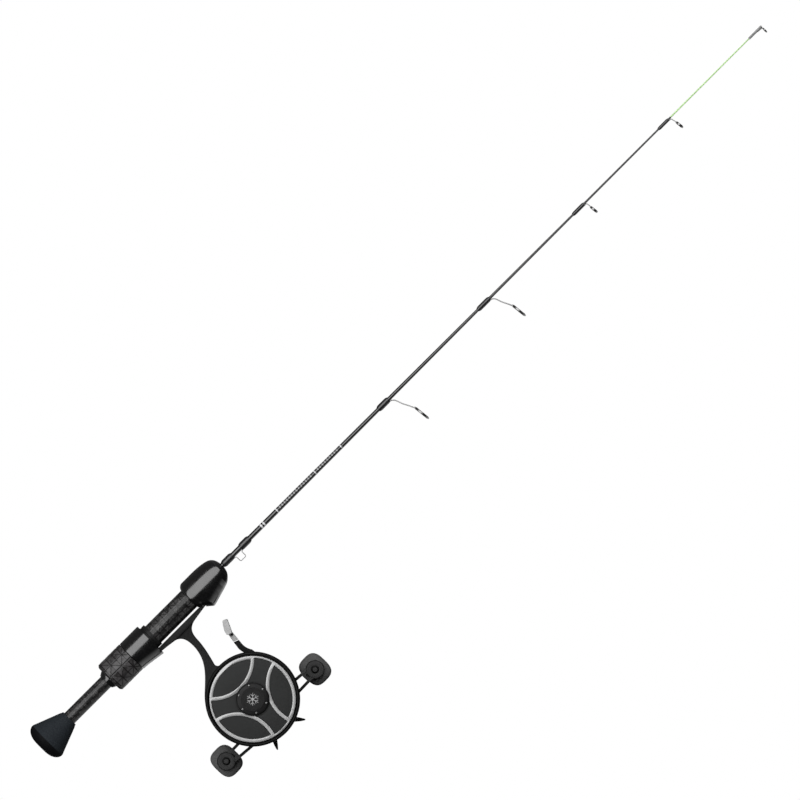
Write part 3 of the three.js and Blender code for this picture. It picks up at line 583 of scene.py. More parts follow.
def star_tiles(surface, tile_mm, around):
    """Square tiles round the rod's axis, each cut into eight facets. Returns the lines and a shade."""
    x, y, z = surface.split()
    angle = surface.math("DIVIDE", surface.math("ARCTAN2", y, z), 2 * math.pi)
    along = surface.math("MULTIPLY", x, 1000 / tile_mm)
    about = surface.math("MULTIPLY", angle, around)
    a = surface.math("SUBTRACT", surface.math("FRACT", along), 0.5)
    b = surface.math("SUBTRACT", surface.math("FRACT", about), 0.5)
    side_a, side_b = surface.math("ABSOLUTE", a), surface.math("ABSOLUTE", b)
    slant = surface.math("ABSOLUTE", surface.math("SUBTRACT", side_a, side_b))
    rim = surface.math("SUBTRACT", 0.5, surface.math("MAXIMUM", side_a, side_b))
    nearest = surface.math(
        "MINIMUM", surface.math("MINIMUM", side_a, side_b), surface.math("MINIMUM", slant, rim)
    )
    lines = surface.ramp(nearest, 0.012, 0.05)
    sector = surface.math("FLOOR", surface.math("DIVIDE", surface.math("ARCTAN2", b, a), math.pi / 4))
    cell = surface.vector(surface.math("FLOOR", along), surface.math("FLOOR", about), sector)
    return lines, surface.new("ShaderNodeTexWhiteNoise", cell).outputs["Value"]


def make_carbon(name, tile_mm, around, dark, light):
    """Marbled short-fibre carbon with a star pattern, under a clear coat."""
    surface = Surface(name, specular_ior_level=0.04, coat_weight=0.42, coat_roughness=0.14)
    lines, facet = star_tiles(surface, tile_mm, around)
    chips = surface.new("ShaderNodeTexVoronoi", surface.stretch((0.6, 1, 1)))
    chips.inputs["Scale"].default_value = 900
    chip = surface.split(chips.outputs["Color"])[0]
    shade = surface.math("MULTIPLY_ADD", chip, 0.45, surface.math("MULTIPLY", facet, 0.55))
    tone = surface.mix(surface.ramp(shade, 0.15, 0.85), dark, light)
    surface.colour(lines, tuple(c * 0.35 for c in dark), tone)
    surface.set("Roughness", surface.ramp(shade, 0.2, 0.8, 0.34, 0.5))
    surface.bump(chip, 0.012)
    return surface.material


def make_blank():
    """Dark clear-coated blank with plain silver trim rings and a run of small dashes."""
    surface = Surface("coated_blank", specular_ior_level=0.4, coat_weight=0.7, coat_roughness=0.05)
    x, y, z = surface.split()
    weave = surface.noise(0.6, 3, 0.6, surface.stretch((0.25, 1, 1)))
    body = surface.mix(surface.ramp(weave, 0.3, 0.7), 0.002, 0.006)
    along = surface.math("MULTIPLY", x, 1000)
    foil = None
    for start, end in TRIM_RINGS:
        band = surface.between(along, start, end)
        foil = band if foil is None else surface.math("MAXIMUM", foil, band)
    dashes = surface.math("GREATER_THAN", surface.math("SINE", surface.math("MULTIPLY", along, 2.6)), 0.25)
    upper = surface.math(
        "GREATER_THAN", surface.math("SUBTRACT", z, surface.math("MULTIPLY", y, 0.4)), 0.0004
    )
    for start, end in DASHED_LINES:
        inside = surface.between(along, start, end)
        marks = surface.math("MULTIPLY", surface.math("MULTIPLY", dashes, upper), inside)
        foil = surface.math("MAXIMUM", foil, surface.math("MULTIPLY", marks, 0.35))
    surface.colour(foil, body, (0.42, 0.42, 0.43))
    smudged(surface, 0.2, 0.32)
    surface.bump(surface.noise(1.4, 2, 0.5, surface.stretch((0.3, 1, 1))), 0.01)
    return surface.material


def make_tip():
    surface = Surface("chartreuse_tip", specular_ior_level=0.5, coat_weight=0.5, coat_roughness=0.1)
    speckled(surface, (0.28, 0.46, 0.17), (0.34, 0.55, 0.21), 3)
    smudged(surface, 0.3, 0.42)
    surface.bump(surface.noise(1.0, 2), 0.01)
    return surface.material


def make_thread():
    """Fine winding thread under clear epoxy."""
    surface = Surface("thread_and_epoxy", specular_ior_level=0.35, coat_weight=0.4, coat_roughness=0.06)
    x = surface.split()[0]
    turns = surface.math("SINE", surface.math("MULTIPLY", x, 2 * math.pi * 1000 / 0.34))
    surface.colour(surface.ramp(turns, -0.6, 0.8), 0.004, (0.014, 0.014, 0.015))
    smudged(surface, 0.22, 0.34, 3)
    surface.bump(surface.ramp(turns, -1, 1), 0.03)
    return surface.material


def make_ceramic():
    surface = Surface("black_ceramic", specular_ior_level=0.7)
    speckled(surface, (0.006, 0.006, 0.007), (0.012, 0.012, 0.013), 1.0)
    smudged(surface, 0.1, 0.18, 2)
    surface.bump(surface.noise(0.5, 2), 0.004)
    return surface.material


RUBBER = make_rubber()
GLOSS = make_gloss()
SATIN = make_satin("satin_coating", 0.0045, 0.007, specular=0.1)
RIM = make_satin("rim_coating", 0.002, 0.004, 0.4, (0.3, 0.42), 0.07, 0.01)
DIAL = make_satin("dial_coating", 0.005, 0.008, 0.35, (0.36, 0.5), 0.12, 0.012)
SLEEVE = make_satin("sleeve_coating", 0.006, 0.009, 0.35, (0.4, 0.52), 0.12, 0.01)
KNOB = make_satin("soft_touch", 0.050, 0.068, 0.45, (0.66, 0.85), 0.15, 0.02)
WASHER = make_satin("washer_grey", 0.021, 0.028, 0.3, (0.5, 0.62), 0.15, 0.015)
BAR = make_bar()
PADDLE = make_paddle()
FRICTION = make_satin(
    "friction_weave", (0.014, 0.014, 0.015), (0.03, 0.03, 0.032), 0.6, (0.75, 0.9), 0.15, 0.04
)
SPOOL_GREY = make_spool_grey()
SILVER = make_silver()
STEEL = make_steel()
WIRE_STEEL = make_steel("guide_wire", (0.2, 0.2, 0.2), 0.25, 0.38)
BRASS = make_steel("cut_brass", (0.62, 0.45, 0.2), 0.24, 0.4)
BARREL_CARBON = make_carbon("barrel_carbon", 9.2, 5, (0.010, 0.010, 0.010), (0.042, 0.041, 0.041))
TUBE_CARBON = make_carbon("tube_carbon", 6.0, 5, (0.010, 0.010, 0.010), (0.042, 0.041, 0.041))
NUT_CARBON = make_carbon(
    "nut_carbon", NUT_TILE, NUT_TILES_AROUND, (0.016, 0.015, 0.015), (0.046, 0.044, 0.045)
)
BLANK = make_blank()
TIP = make_tip()
THREAD = make_thread()
CERAMIC = make_ceramic()


# ---- rod ----
def blank_radius(x):
    return table_at(BLANK_TAPER, x)


def add_blank_and_tip():
    profile = [(BLANK_TAPER[0][0], 0)]
    profile += [(x, blank_radius(x)) for x in range(-30, 511, 20)]
    profile += [BLANK_TAPER[-1], (BLANK_TAPER[-1][0], 0)]
    fine("rod_blank", lathe(profile, "X", 40), BLANK)
    steps = [(510.5 + 8.95 * i, 0.56 - 0.011 * i) for i in range(11)]
    profile = [(steps[0][0] - 0.28, 0), (steps[0][0] - 0.28, 0.42), *steps, (steps[-1][0], 0)]
    flat = lathe(profile, "X", 32, reshape=lambda p: Vector((p.x, p.y * 1.25, p.z)))
    fine("quick_tip", flat, TIP)


GUIDES = [
    {"name": "guide_1", "foot": (211.5, 223.5), "ring": (232.2, -23.9, 6.65), "wrap": 2.4, "wire": 0.5},
    {"name": "guide_2", "foot": (313.2, 326.6), "ring": (334.1, -21.2, 6.25), "wrap": 1.95, "wire": 0.5},
    {"name": "guide_3", "foot": (410.2, 423.2), "ring": (423.9, -7.9, 3.4), "wrap": 1.5, "wire": 0.35},
    {"name": "guide_4", "foot": (497.4, 509.4), "ring": (510.9, -8.4, 3.3), "wrap": 1.27, "wire": 0.35},
]
GUIDE_LEAN = -6


def guide_frame_shape(guide):
    """Two bent legs from a flattened foot to a rolled seat round the ring."""
    start_x, end_x = guide["foot"]
    ring_x, ring_z, outer = guide["ring"]
    radius = guide["wire"]
    top = -blank_radius(start_x) - 0.06
    shapes = []
    for side in (-1, 1):
        drop = ring_z + outer * 0.8 - top
        run = ring_x - end_x
        route = [
            (end_x - 4, side * 0.2, top - 0.16),
            (end_x - 0.8, side * 0.35, top - 0.35),
            (end_x + run * 0.18, side * 0.8, top + drop * 0.14),
            (end_x + run * 0.42, side * outer * 0.26, top + drop * 0.46),
            (end_x + run * 0.66, side * outer * 0.4, top + drop * 0.7),
            (ring_x - outer * 0.1, side * outer * 0.52, ring_z + outer * 0.84),
        ]
        shapes.append(wire(smooth(route), radius * 0.85))
    seat = plain_ring(-0.6, 0.6, outer - 1.3 * radius, outer, 64, 0.15)
    shapes.append(moved(turned(seat, GUIDE_LEAN), ring_x, 0, ring_z))
    sole = [
        (start_x + 0.5, top - 0.05), (start_x + 5, top), (end_x, top), (end_x, top - 0.3),
        (start_x + 5, top - 0.3),
    ]
    shapes.append(plate([rounded(sole, 0.1, closed=True)], -0.5, 0.5, 0.08))
    return join(shapes[0], shapes[1:])


def guide_ring_shape(guide):
    """A rounded ceramic hoop."""
    ring_x, ring_z, outer = guide["ring"]
    held = outer - 1.3 * guide["wire"] - 0.06
    thick = 1.5 * guide["wire"]
    hoop = lathe(oval(0, held - thick / 2, 0.88, thick / 2, 20), "X", 72, closed=True)
    return moved(turned(hoop, GUIDE_LEAN), ring_x, 0, ring_z)


def wrap_shape(start, end, radius):
    """Thread under an epoxy skin that tapers smoothly to the blank at both ends."""
    inner = blank_radius(start) + 0.02
    taper, lip = 2.2, 0.12
    profile = []
    for i in range(9):
        share = i / 8
        rise = (radius - inner - lip) * math.sin(share * math.pi / 2)
        profile.append((start + taper * share, inner + lip + rise))
    other = [(start + end - x, r) for x, r in reversed(profile)]
    middle = ((start + end) / 2, radius)
    outline = [*profile, middle, *other, (end, inner), (start, inner)]
    return lathe(outline, "X", 40, closed=True)


def add_guides():
    for guide in GUIDES:
        name = guide["name"]
        fine(f"{name}_frame", guide_frame_shape(guide), WIRE_STEEL)
        fine(f"{name}_ring", guide_ring_shape(guide), CERAMIC)
        start, end = guide["foot"]
        wrap = wrap_shape(start, end - 1, guide["wrap"])
        fine(f"{name}_wrap", wrap, THREAD)


def add_tip_guide():
    x, z, outer = 602.7, -3.6, 2.35
    sleeve_line = [(590.2, 0.66), (590.2, 0.86), (602.6, 0.9), (603.1, 0.8), (603.1, 0.66)]
    sleeve = hollow(sleeve_line, 0.08, 32)
    seat = moved(lathe(oval(0, outer - 0.36, 0.42, 0.36, 12), "X", 48, closed=True), x, 0, z)
    neck = wire(smooth([(598, 0, -0.75), (600.5, 0, -0.95), (602.1, 0, -1.2), (602.7, 0, -1.7)]), 0.4)
    frame_shape = join(seat, [sleeve, neck])
    fine("tip_guide_frame", frame_shape, WIRE_STEEL)
    hoop = moved(lathe(oval(0, outer - 1.02, 0.6, 0.28, 14), "X", 48, closed=True), x, 0, z)
    fine("tip_guide_ring", hoop, CERAMIC)


def add_hook_keeper():
    x0, x1, low, radius, foot_z = 63.9, 69.9, -7.6, 0.3, -2.42
    corners = [(58, foot_z), (x0 + radius, foot_z), (x0 + radius, low + radius), (x1 - radius, low + radius)]
    corners += [(x1 - radius, foot_z), (75.5, foot_z)]
    route = [(p[0], 0, p[1]) for p in rounded(corners, 1.2, steps=6)]
    fine("hook_keeper", wire(route, radius), WIRE_STEEL)
    for name, start, end in (("rear", 53.2, 63.0), ("front", 70.8, 80.4)):
        wrap = wrap_shape(start, end, 2.85)
        fine(f"keeper_wrap_{name}", wrap, THREAD)


# ---- handle ----
def swelling(table, core):
    """Pushes the underside outwards by the height that the table gives at each X."""

    def reshape(point):
        radius = math.hypot(point.y, point.z)
        if point.z >= 0 or radius < core:
            return point
        grown = 1 + table_at(table, point.x) * (point.z / radius) ** 2 / radius
        return Vector((point.x, point.y * grown, point.z * grown))

    return reshape


def foot_slot(start, end, half, bottom):
    top = FOOT_TOP + GAP
    corners = [(-half, top), (half, top), (half, bottom), (-half, bottom)]
    shape = plate([rounded(corners, 0.6, closed=True)], start, end, 0.01, 0)
    shape.transform(Matrix.Rotation(-math.pi / 2, 4, "Z"))
    return shape


def add_fore_grip():
    top = [(18.8, HOOD_BORE), (18.8, 9.2), (19.4, 10.0), (20.4, 11.0), (21.6, 11.65), (22.6, 11.8)]
    nose = smooth(
        [(23, 11.8), (28, 11.82), (34, 11.8), (38, 11.62), (42, 11.2), (45.2, 10.6), (47.6, 9.85)], 5
    )
    nose += smooth([(47.6, 9.85), (49.3, 8.75), (50.8, 7.05), (51.8, 5.1), (52.4, 2.9)], 5)[1:]
    inside = [(52.4, 2.3), (24.6, 2.3), (24.6, HOOD_BORE)]
    outline = [Vector(p) for p in rounded(top, 0.4)] + nose + [Vector(p) for p in inside]
    lip = [(20, 0.2), (22.4, 0.5), (23.2, 0.85), (25.2, 2.4), (27.6, 4.45), (28.3, 4.7), (29.3, 4.55)]
    lip += [(31.4, 4.0), (33.6, 3.4), (37, 2.45), (42, 1.5), (46, 0.95), (49, 0.1), (50, 0)]
    waist = [(18.8, 0.6), (22, 1.8), (46, 1.8), (50, 0.9), (52.4, 0)]
    broaden = [(18.8, 1.12), (19.4, 1.12), (20.4, 1.06), (21.6, 1.015), (23, 1), (42, 1), (45.2, 1.05)]
    broaden += [(47.6, 1.11), (49.3, 1.16), (50.8, 1.24), (51.8, 1.34), (52.4, 1.3)]

    def reshape(point):
        """The section is widest a little below the axis and fuller at the sides. The lip deepens it."""
        radius = math.hypot(point.y, point.z)
        if radius < SEAT_R + 0.4:
            return point
        low = table_at(waist, point.x)
        reach = radius + low if point.z > 0 else radius + table_at(lip, point.x) - low
        return Vector((point.x, point.y * table_at(broaden, point.x), reach * point.z / radius - low))

    body = lathe(densify(outline, 0.5), "X", 144, closed=True, reshape=reshape)
    shape = cut(body, [foot_slot(18, 24.9, 4.6, -12.6)])
    fine("fore_grip", shape, GLOSS)


def densify(points, step):
    """Adds points so that no stretch is longer than step."""
    line = []
    for a, b in zip(points, points[1:]):
        count = max(1, math.ceil((b - a).length / step))
        line += [a + (b - a) * i / count for i in range(count)]
    return [*line, points[-1]]


def add_seat_barrel():
    outline = [(-62, REAR_BORE), (-62, SEAT_R), (24.2, SEAT_R), (24.2, 2.55), (-45, 2.55), (-45, REAR_BORE)]
    shape = hollow(outline, 0.25, 96)
    fine("seat_barrel", shape, BARREL_CARBON)


def add_sliding_hood():
    clear = SLEEVE_R + 0.35
    outer = rounded([(-40.2, HOOD_BORE), (-40.2, HOOD_R), (-22, HOOD_R), (-22, clear)], 0.45)
    inside = [(-38, clear), (-38, HOOD_BORE)]
    outline = densify([Vector(p) for p in outer] + [Vector(p) for p in inside], 0.8)
    lip = [(-40.2, 0.4), (-36, 0.65), (-30, 1.5), (-22.2, 2.65), (-22, 2.6)]
    body = lathe(outline, "X", 128, closed=True, reshape=swelling(lip, 10.9))
    shape = cut(body, [foot_slot(-27.8, -20, 4.5, -13.1)])
    fine("sliding_hood", shape, GLOSS)
    top, groove = SLEEVE_R, SLEEVE_R - 0.25
    profile = [(-37.7, HOOD_BORE), (-37.7, top), (-21.4, top), (-21.2, groove), (-20.8, groove), (-20.6, top)]
    profile += [(-18, top), (-18, HOOD_BORE)]
    sleeve = hollow(profile, 0.3, 96)
    sleeve = cut(sleeve, [foot_slot(-38.5, -17, 5.9, -13.7)])
    fine("hood_sleeve", sleeve, SLEEVE)


def add_lock_nut():
    """The nut's star pattern is real relief: eight facets to a tile, parted by narrow grooves."""
    rear, front, radius = -62.9, -40.5, NUT_R
    corners = [(rear, HOOD_BORE), (rear, 10.8), (rear + 1.4, radius), (front, radius), (front, HOOD_BORE)]
    outline = rounded(corners, 0.35)

    def cut_pattern(point):
        reach = math.hypot(point.y, point.z)
        if reach < radius - 0.02 or not rear + 1.9 < point.x < front - 0.7:
            return point
        a = abs((point.x / NUT_TILE) % 1 - 0.5)
        b = abs((math.atan2(point.y, point.z) / (2 * math.pi) * NUT_TILES_AROUND) % 1 - 0.5)
        nearest = min(a, b, abs(a - b), 0.5 - max(a, b))
        depth = 0.22 * max(0.0, 1 - nearest / 0.035)
        scale = (reach - depth) / reach
        return Vector((point.x, point.y * scale, point.z * scale))

    line = densify(outline, 0.2)
    shape = lathe(line, "X", 288, closed=True, reshape=cut_pattern)
    fine("lock_nut", shape, NUT_CARBON)


def add_rear_grip():
    collar = [(-66.2, REAR_BORE), (-66.2, 5.9), (-63.6, 7.5), (-62.4, 7.8), (-62.4, REAR_BORE)]
    shape = hollow(collar, 0.3, 96)
    fine("rear_collar", shape, GLOSS)
    tube = plain_ring(-124, -45.4, 3.4, REAR_TUBE_R, 80)
    fine("rear_grip_tube", tube, TUBE_CARBON)


def add_butt_cap():
    dome = [
        (DOME_RIM_X - 6.8 * math.cos(t), 5 + 10.1 * math.sin(t))
        for t in (math.pi / 2 * i / 16 for i in range(17))
    ]
    cone = [(-125.2, 14.95), (-124.4, 14.6), (-105.2, 7.15), (-104.9, 6.75), (-104.0, 6.6), (-103.5, 6.2)]
    bore = [(-103.5, REAR_BORE), (-124.4, REAR_BORE), (-124.4, 0)]
    outline = [Vector((-133, 0)), *map(Vector, dome), *rounded(cone, 0.3), *map(Vector, bore)]
    fine("butt_cap", lathe(outline, "X", 128), RUBBER)


# ---- reel frame ----
def foot_outline():
    rear, front = -27.4, 24.6
    line = [(rear, FOOT_Z), (front, FOOT_Z), (front, FOOT_Z - 2.3)]
    line = bend(line, (20, FOOT_Z - 2.8), (14, FOOT_Z - 3.8), (9, FOOT_Z - 4.6))
    line += [(-9, FOOT_Z - 4.9)]
    line = bend(line, (-15, FOOT_Z - 4.0), (-20, FOOT_Z - 3.3), (rear, FOOT_Z - 2.9))
    return line


def foot_plan():
    """The foot from above, narrower where its ends go into the hoods."""
    side = [
        (-27.4, 3.2), (-26, 4.1), (-18, 4.2), (-13, 5.5), (12, 5.5), (16.5, 4.3), (23.6, 4.2), (24.6, 3.4)
    ]
    return side + [(x, -y) for x, y in reversed(side)]


def stem_outline():
    line = [(-10, FOOT_Z - 2), (10.5, FOOT_Z - 2), (10.5, 69.9)]
    line = bend(line, (4.5, 68.5), (2.4, 65.5), (2.1, 59))
    line = bend(line, (1.9, 52), (0.2, 45), (-2, 37))
    line = bend(line, (-1.95, 35.6), (-1.3, 34.6), (0, 34.1), 6)
    line += arc(RIM_R - RIM_WALL, 90, 171, 24)
    line += [polar(RIM_R, 171)]
    line = bend(line, (-33, 13.5), (-28, 21.5), (-21.4, 27.7))
    line = bend(line, (-12, 36.5), (-3.4, 43.5), (-3.2, 57.5), 18)
    line = bend(line, (-3.2, 65.5), (-5.5, 69), (-12, 69.9))
    return line


def wall_outline(start, end):
    return arc(RIM_R - 0.4, start, end, 20) + arc(RIM_R - RIM_WALL, end, start, 20)


def add_reel_frame():
    foot = plate([foot_outline()], -5.5, 5.5, 0.45, 3)
    plan = plate([rounded(foot_plan(), 0.8, closed=True)], FOOT_Z - 6, FOOT_Z + 1, 0.01, 0)
    plan.transform(Matrix.Rotation(math.pi / 2, 4, "X"))
    foot = combine(foot, [plan], "INTERSECT")
    stem = plate([stem_outline()], -4, 4, 0.8, 4)
    back = plain_ring(8, 10.3, 5.4, COVER_R, 160, 0.35, "Y")
    walls = [plate([wall_outline(*span)], -5.2, 9, 0.3) for span in ((92, 171), (206, 228), (300, 322))]
    whole = join(back, [*walls, stem, foot])
    bores = [moved(cylinder(7, 12, SCREW_HOLE_R, 32), *screw_place(a)) for a in COVER_SCREWS]
    shape = cut(whole, bores)
    fine("reel_frame", shape, SATIN, SPOOL_AXIS)


def add_rim_ring():
    inner = RIM_R - RIM_WALL
    profile = [
        (-5.5, inner), (-9.0, inner), (-9.6, inner + 0.6), (-9.5, RIM_R - 0.8), (-8.7, RIM_R), (-5.5, RIM_R)
    ]
    shape = hollow(profile, 0.35, 192, "Y")
    fine("rim_ring", shape, RIM, SPOOL_AXIS)


def screw_place(degrees):
    x, z = polar(29.6, degrees)
    return x, 0, z


def add_gear_cover():
    """A turned shell with a stepped face, a boss for the clutch and a cap over the spool's bearing."""
    wall = 1.7
    face = COVER_FACE_Y
    outer = [
        (10.6, COVER_R), (13.2, COVER_R), (13.4, COVER_R - 0.35), (13.9, COVER_R - 0.35), (14.1, COVER_R)
    ]
    outer += [
        (face - 2.4, COVER_R), (face, COVER_R - 2.4), (face, 25.2), (face - 0.4, 24.8), (face - 0.4, 15.2)
    ]
    outer += [(face, 14.8), (face, 6.6), (face + 1.3, 6), (face + 1.3, 0)]
    inside = [(face - wall, 0), (face - wall, COVER_R - wall)]
    line = [Vector((10.6, COVER_R - wall)), *rounded(outer, 0.3), *map(Vector, inside)]
    shell = lathe(line, "Y", 160, closed=True)
    drop = CRANK_AXIS.z - SPOOL_AXIS.z
    boss_line = [(face - wall - 1.2, 0), (face - wall - 1.2, 9.4), (face + 2.4, 9.4), (face + 2.4, 0)]
    boss = moved(solid(boss_line, 0.5, 96), 0, 0, drop)
    posts = [moved(cylinder(10.6, 19.8, 2.9, 48), *screw_place(a)) for a in COVER_SCREWS]
    whole = join(shell, [boss, *posts])
    bore = moved(cylinder(16, 30, 7.2, 96), 0, 0, drop)
    seat = cylinder(17, face + 0.3, 4.8, 64)
    holes = [moved(cylinder(5, 30, SCREW_HOLE_R, 32), *screw_place(a)) for a in COVER_SCREWS]
    notch = box_shape((12, 9.6, 18), (29, 15.2, 36))
    shape = cut(whole, [bore, seat, notch, *holes])
    fine("gear_cover", shape, SATIN, SPOOL_AXIS)


def add_cover_screws():
    under = COVER_FACE_Y + 0.1
    profile = [
        (8.3, 0), (8.3, 1), (under, 1), (under, 2), (under + 0.9, 2), (under + 1.3, 1.6), (under + 1.3, 0)
    ]
    for i, degrees in enumerate(COVER_SCREWS):
        head = solid(profile, 0.12, 48)
        socket = cylinder(under + 0.6, under + 2, 0.95, 6)
        shape = moved(cut(head, [socket]), *screw_place(degrees))
        fine(f"cover_screw_{i + 1}", shape, STEEL, SPOOL_AXIS)


# ---- spool, its face and the dial ----
LEAF = {"centre": 40.9, "edge": 27.55, "border": 29.95, "window": 28.85, "spoke": 29.85}


def angle_on_arc(arc_radius, radius):
    """How far round the spool's axis a leaf's arc is from the leaf's middle, in degrees."""
    cosine = (radius**2 + LEAF["centre"] ** 2 - arc_radius**2) / (2 * radius * LEAF["centre"])
    return math.degrees(math.acos(min(1.0, cosine)))


def leaf_arc(arc_radius, start, end, middle, side):
    steps = 16
    radii = [start + (end - start) * (i / steps) for i in range(steps + 1)]
    return [polar(r, middle + side * angle_on_arc(arc_radius, r)) for r in radii]


def window_outline(middle):
    near = LEAF["centre"] - LEAF["edge"]
    reach = angle_on_arc(LEAF["edge"], LEAF["window"])
    line = leaf_arc(LEAF["edge"], near, LEAF["window"], middle, 1)
    line += arc(LEAF["window"], middle + reach, middle - reach, 40)[1:-1]
    line += leaf_arc(LEAF["edge"], LEAF["window"], near, middle, -1)[:-1]
    return line


def spoke_outline(middle):
    following = middle + 120
    near = LEAF["centre"] - LEAF["border"] + 0.6
    spread, close = angle_on_arc(LEAF["border"], LEAF["spoke"]), angle_on_arc(LEAF["border"], near)
    line = leaf_arc(LEAF["border"], near, LEAF["spoke"], middle, 1)
    line += arc(LEAF["spoke"], middle + spread, following - spread, 16)[1:-1]
    line += leaf_arc(LEAF["border"], LEAF["spoke"], near, following, -1)
    line += arc(near, following - close, middle + close, 16)[1:-1]
    return line


def add_spool():
    arbor, front, bore = 19.5, FACE_Y + 1.4, 1.56
    outer = [
        (FACE_Y, bore), (FACE_Y, FACE_R), (front, FACE_R), (front + 0.5, arbor + 0.6), (front + 1.4, arbor)
    ]
    outer += [
        (4.2, arbor), (5, arbor + 0.8), (5.2, 30.8), (6.6, 30.8), (6.6, arbor - 1.7),
        (front + 0.3, arbor - 1.7),
    ]
    outer += [(front + 0.3, 5), (6, 5), (6, bore)]
    body = hollow(outer, 0.25, 160, "Y")
    ports = []
    for i in range(12):
        port = lathe([(15, 0), (15, 2.4), (25, 2.4), (25, 0)], "X", 40)
        ports.append(turned(moved(port, 0, -0.9, 0), 30 * i))
    shape = cut(body, ports)
    fine("spool", shape, SPOOL_GREY, SPOOL_AXIS)


def add_face_trim():
    outlines = [arc(FACE_R - 0.4, 0, 357.5, 143), arc(6, 0, 350, 35)]
    for i in range(3):
        outlines += [window_outline(90 + 120 * i), spoke_outline(90 + 120 * i)]
    shape = plate(outlines, FACE_Y - 0.65, FACE_Y - 0.05, 0.12, 1)
    fine("face_trim", shape, SILVER, SPOOL_AXIS)


def add_drop_dial():
    profile = [
        (-11.4, 0), (-11.4, 8.7), (-11.25, 9.1), (-10.9, 10.9), (-10.2, 11.8), (-9.4, DIAL_R), (-9.05, DIAL_R)
    ]
    body = solid([*profile, (-9.05, 0)], 0.25, 144)
    cup_line = [(-12.4, 0), (-12.4, 0.95), (-10.5, 0.85), (-10.3, 0)]
    screw_line = [(-10.45, 0), (-10.45, 0.7), (-10.75, 0.7), (-10.85, 0.5), (-10.85, 0)]
    cups = []
    screws = []
    for i in range(6):
        x, z = polar(DIAL_SCREWS_R, 60 * i)
        cups.append(moved(lathe(cup_line, "Y", 32), x, 0, z))
        screws.append(moved(solid(screw_line, 0.08, 24), x, 0, z))
    groove = lathe([(-11.5, 7.7), (-11.5, 8.0), (-11.25, 7.95), (-11.25, 7.75)], "Y", 144, closed=True)
    shape = cut(body, [*cups, groove])
    fine("drop_dial", shape, DIAL, SPOOL_AXIS)
    piece("dial_screws", together(screws), WIRE_STEEL, "dial", (), SPOOL_AXIS)
    piece("dial_mark", snowflake(4.7, 0.26), SILVER, "dial", (), SPOOL_AXIS)


def snowflake(reach, width):
    """A plain six-armed frost mark."""
    top = -11.55
    lines = [[(0, -width), (reach, -width * 0.7), (reach, width * 0.7), (0, width)]]
    for side in (-1, 1):
        lines.append([(2.5, 0), (3.9, side * 1.35), (3.6, side * 1.65), (2.1, side * 0.15)])
    bars = []
    for i in range(6):
        bars += [turned(plate([line], top, top + 0.25, 0.04, 0), 60 * i + 15) for line in lines]
    middle = cylinder(top - 0.01, top + 0.27, 0.9, 24)
    return join(middle, bars)


# ---- trigger ----
RIVET = (21.9, 0, 43.6)


def add_trigger():
    px, pz = TRIGGER_PIVOT.x, TRIGGER_PIVOT.z
    line = [(px - 2.6, pz), (20.6, 24)]
    line = bend(line, (19, 27.0), (18.1, 30), (18.1, 33))
    line += [(18.9, 38.7), (22.7, 37.2), (22.3, 33)]
    line = bend(line, (22.3, 30.5), (23.0, 28), (24.6, 25.6))
    line += [(px + 2.8, pz)]
    blade = plate([line], 11.4, 14.4, 0.4, 3)
    boss = moved(cylinder(11.35, 14.45, 3.6, 64, 0.3), px, 0, pz)
    tail_line = [(px - 2, pz - 3), (px + 1, pz - 3), (px - 5, pz - 8), (px - 7.5, pz - 6)]
    tail = plate([rounded(tail_line, 0.8, closed=True)], 11.5, 14.3, 0.3)
    cam = moved(cylinder(13.9, 15.25, 1.2, 32), px - 5.6, 0, pz - 6.6)
    whole = join(blade, [boss, tail, cam])
    bore = moved(cylinder(5, 20, 1.3, 48), px, 0, pz)
    shape = cut(whole, [bore])
    fine("trigger_lever", shape, RIM, SPOOL_AXIS)

    neck = [(19.0, 39.1), (22.8, 37.6), (23.5, 45), (20.2, 46)]
    plate_line = [(19.3, 45.9), (23.2, 44.3), (24.7, 47.2), (26.0, 50.2), (27.7, 53.9), (24.3, 55.5)]
    plate_line += [(22.2, 52.6), (20.2, 49.2)]
    finger = plate([rounded(plate_line, 0.8, closed=True, steps=5)], -4, 14.4, 0.4, 4)
    stalk = plate([rounded(neck, 0.3, closed=True)], 11.6, 14.4, 0.3, 2)
    hole = moved(cylinder(5, 20, 1.16, 40), *RIVET)
    shape = cut(join(finger, [stalk]), [hole])
    fine("trigger_paddle", shape, PADDLE, SPOOL_AXIS)
    shape = moved(cylinder(11, 15, 1.1, 40, 0.3), *RIVET)
    fine("trigger_rivet", shape, RIM, SPOOL_AXIS)


# ---- crank, star and knobs, drawn from the crank's axis before they are tilted ----
def tilted(shape):
    return turned(shape, math.degrees(CRANK_TILT))


def crank_fine(node, shape, material):
    return fine(node, tilted(shape), material, CRANK_AXIS)


def star_outline():
    """Five blades that taper and hook the same way."""
    reach = [(6.4, 3.2), (10, 2.7), (14, 2.3), (18.2, 1.8), (22, 1.25), (24.2, 0.75), (25.3, 0.4)]
    hook = 1.2
    line = []
    for i in range(5):
        middle = math.radians(-90 + 36 + 72 * i)

        def at(radius, across):
            bent = across + hook * (radius / 25.2) ** 3 - 0.5 * hook
            x = radius * math.cos(middle) - bent * math.sin(middle)
            return (x, radius * math.sin(middle) + bent * math.cos(middle))

        line += [at(r, -half) for r, half in reach]
        line += [at(r, half) for r, half in reversed(reach)]
    return line


def add_star_drag():
    blades = plate([rounded(star_outline(), 0.2, closed=True, steps=2)], 25.0, 27.2, 0.12, 2)
    hub_line = [(24.4, 0), (24.4, 7.2), (28, 7.2), (28, 5.4), (27.6, 5.2), (27.6, 0)]
    hub = solid(hub_line, 0.4, 96)
    sleeve = cylinder(18.15, 25, 4.2, 64)
    bore = cylinder(10, 40, SHAFT_HOLE_R, 64)
    shape = cut(join(blades, [hub, sleeve]), [bore])
    crank_fine("star_drag", shape, RIM)


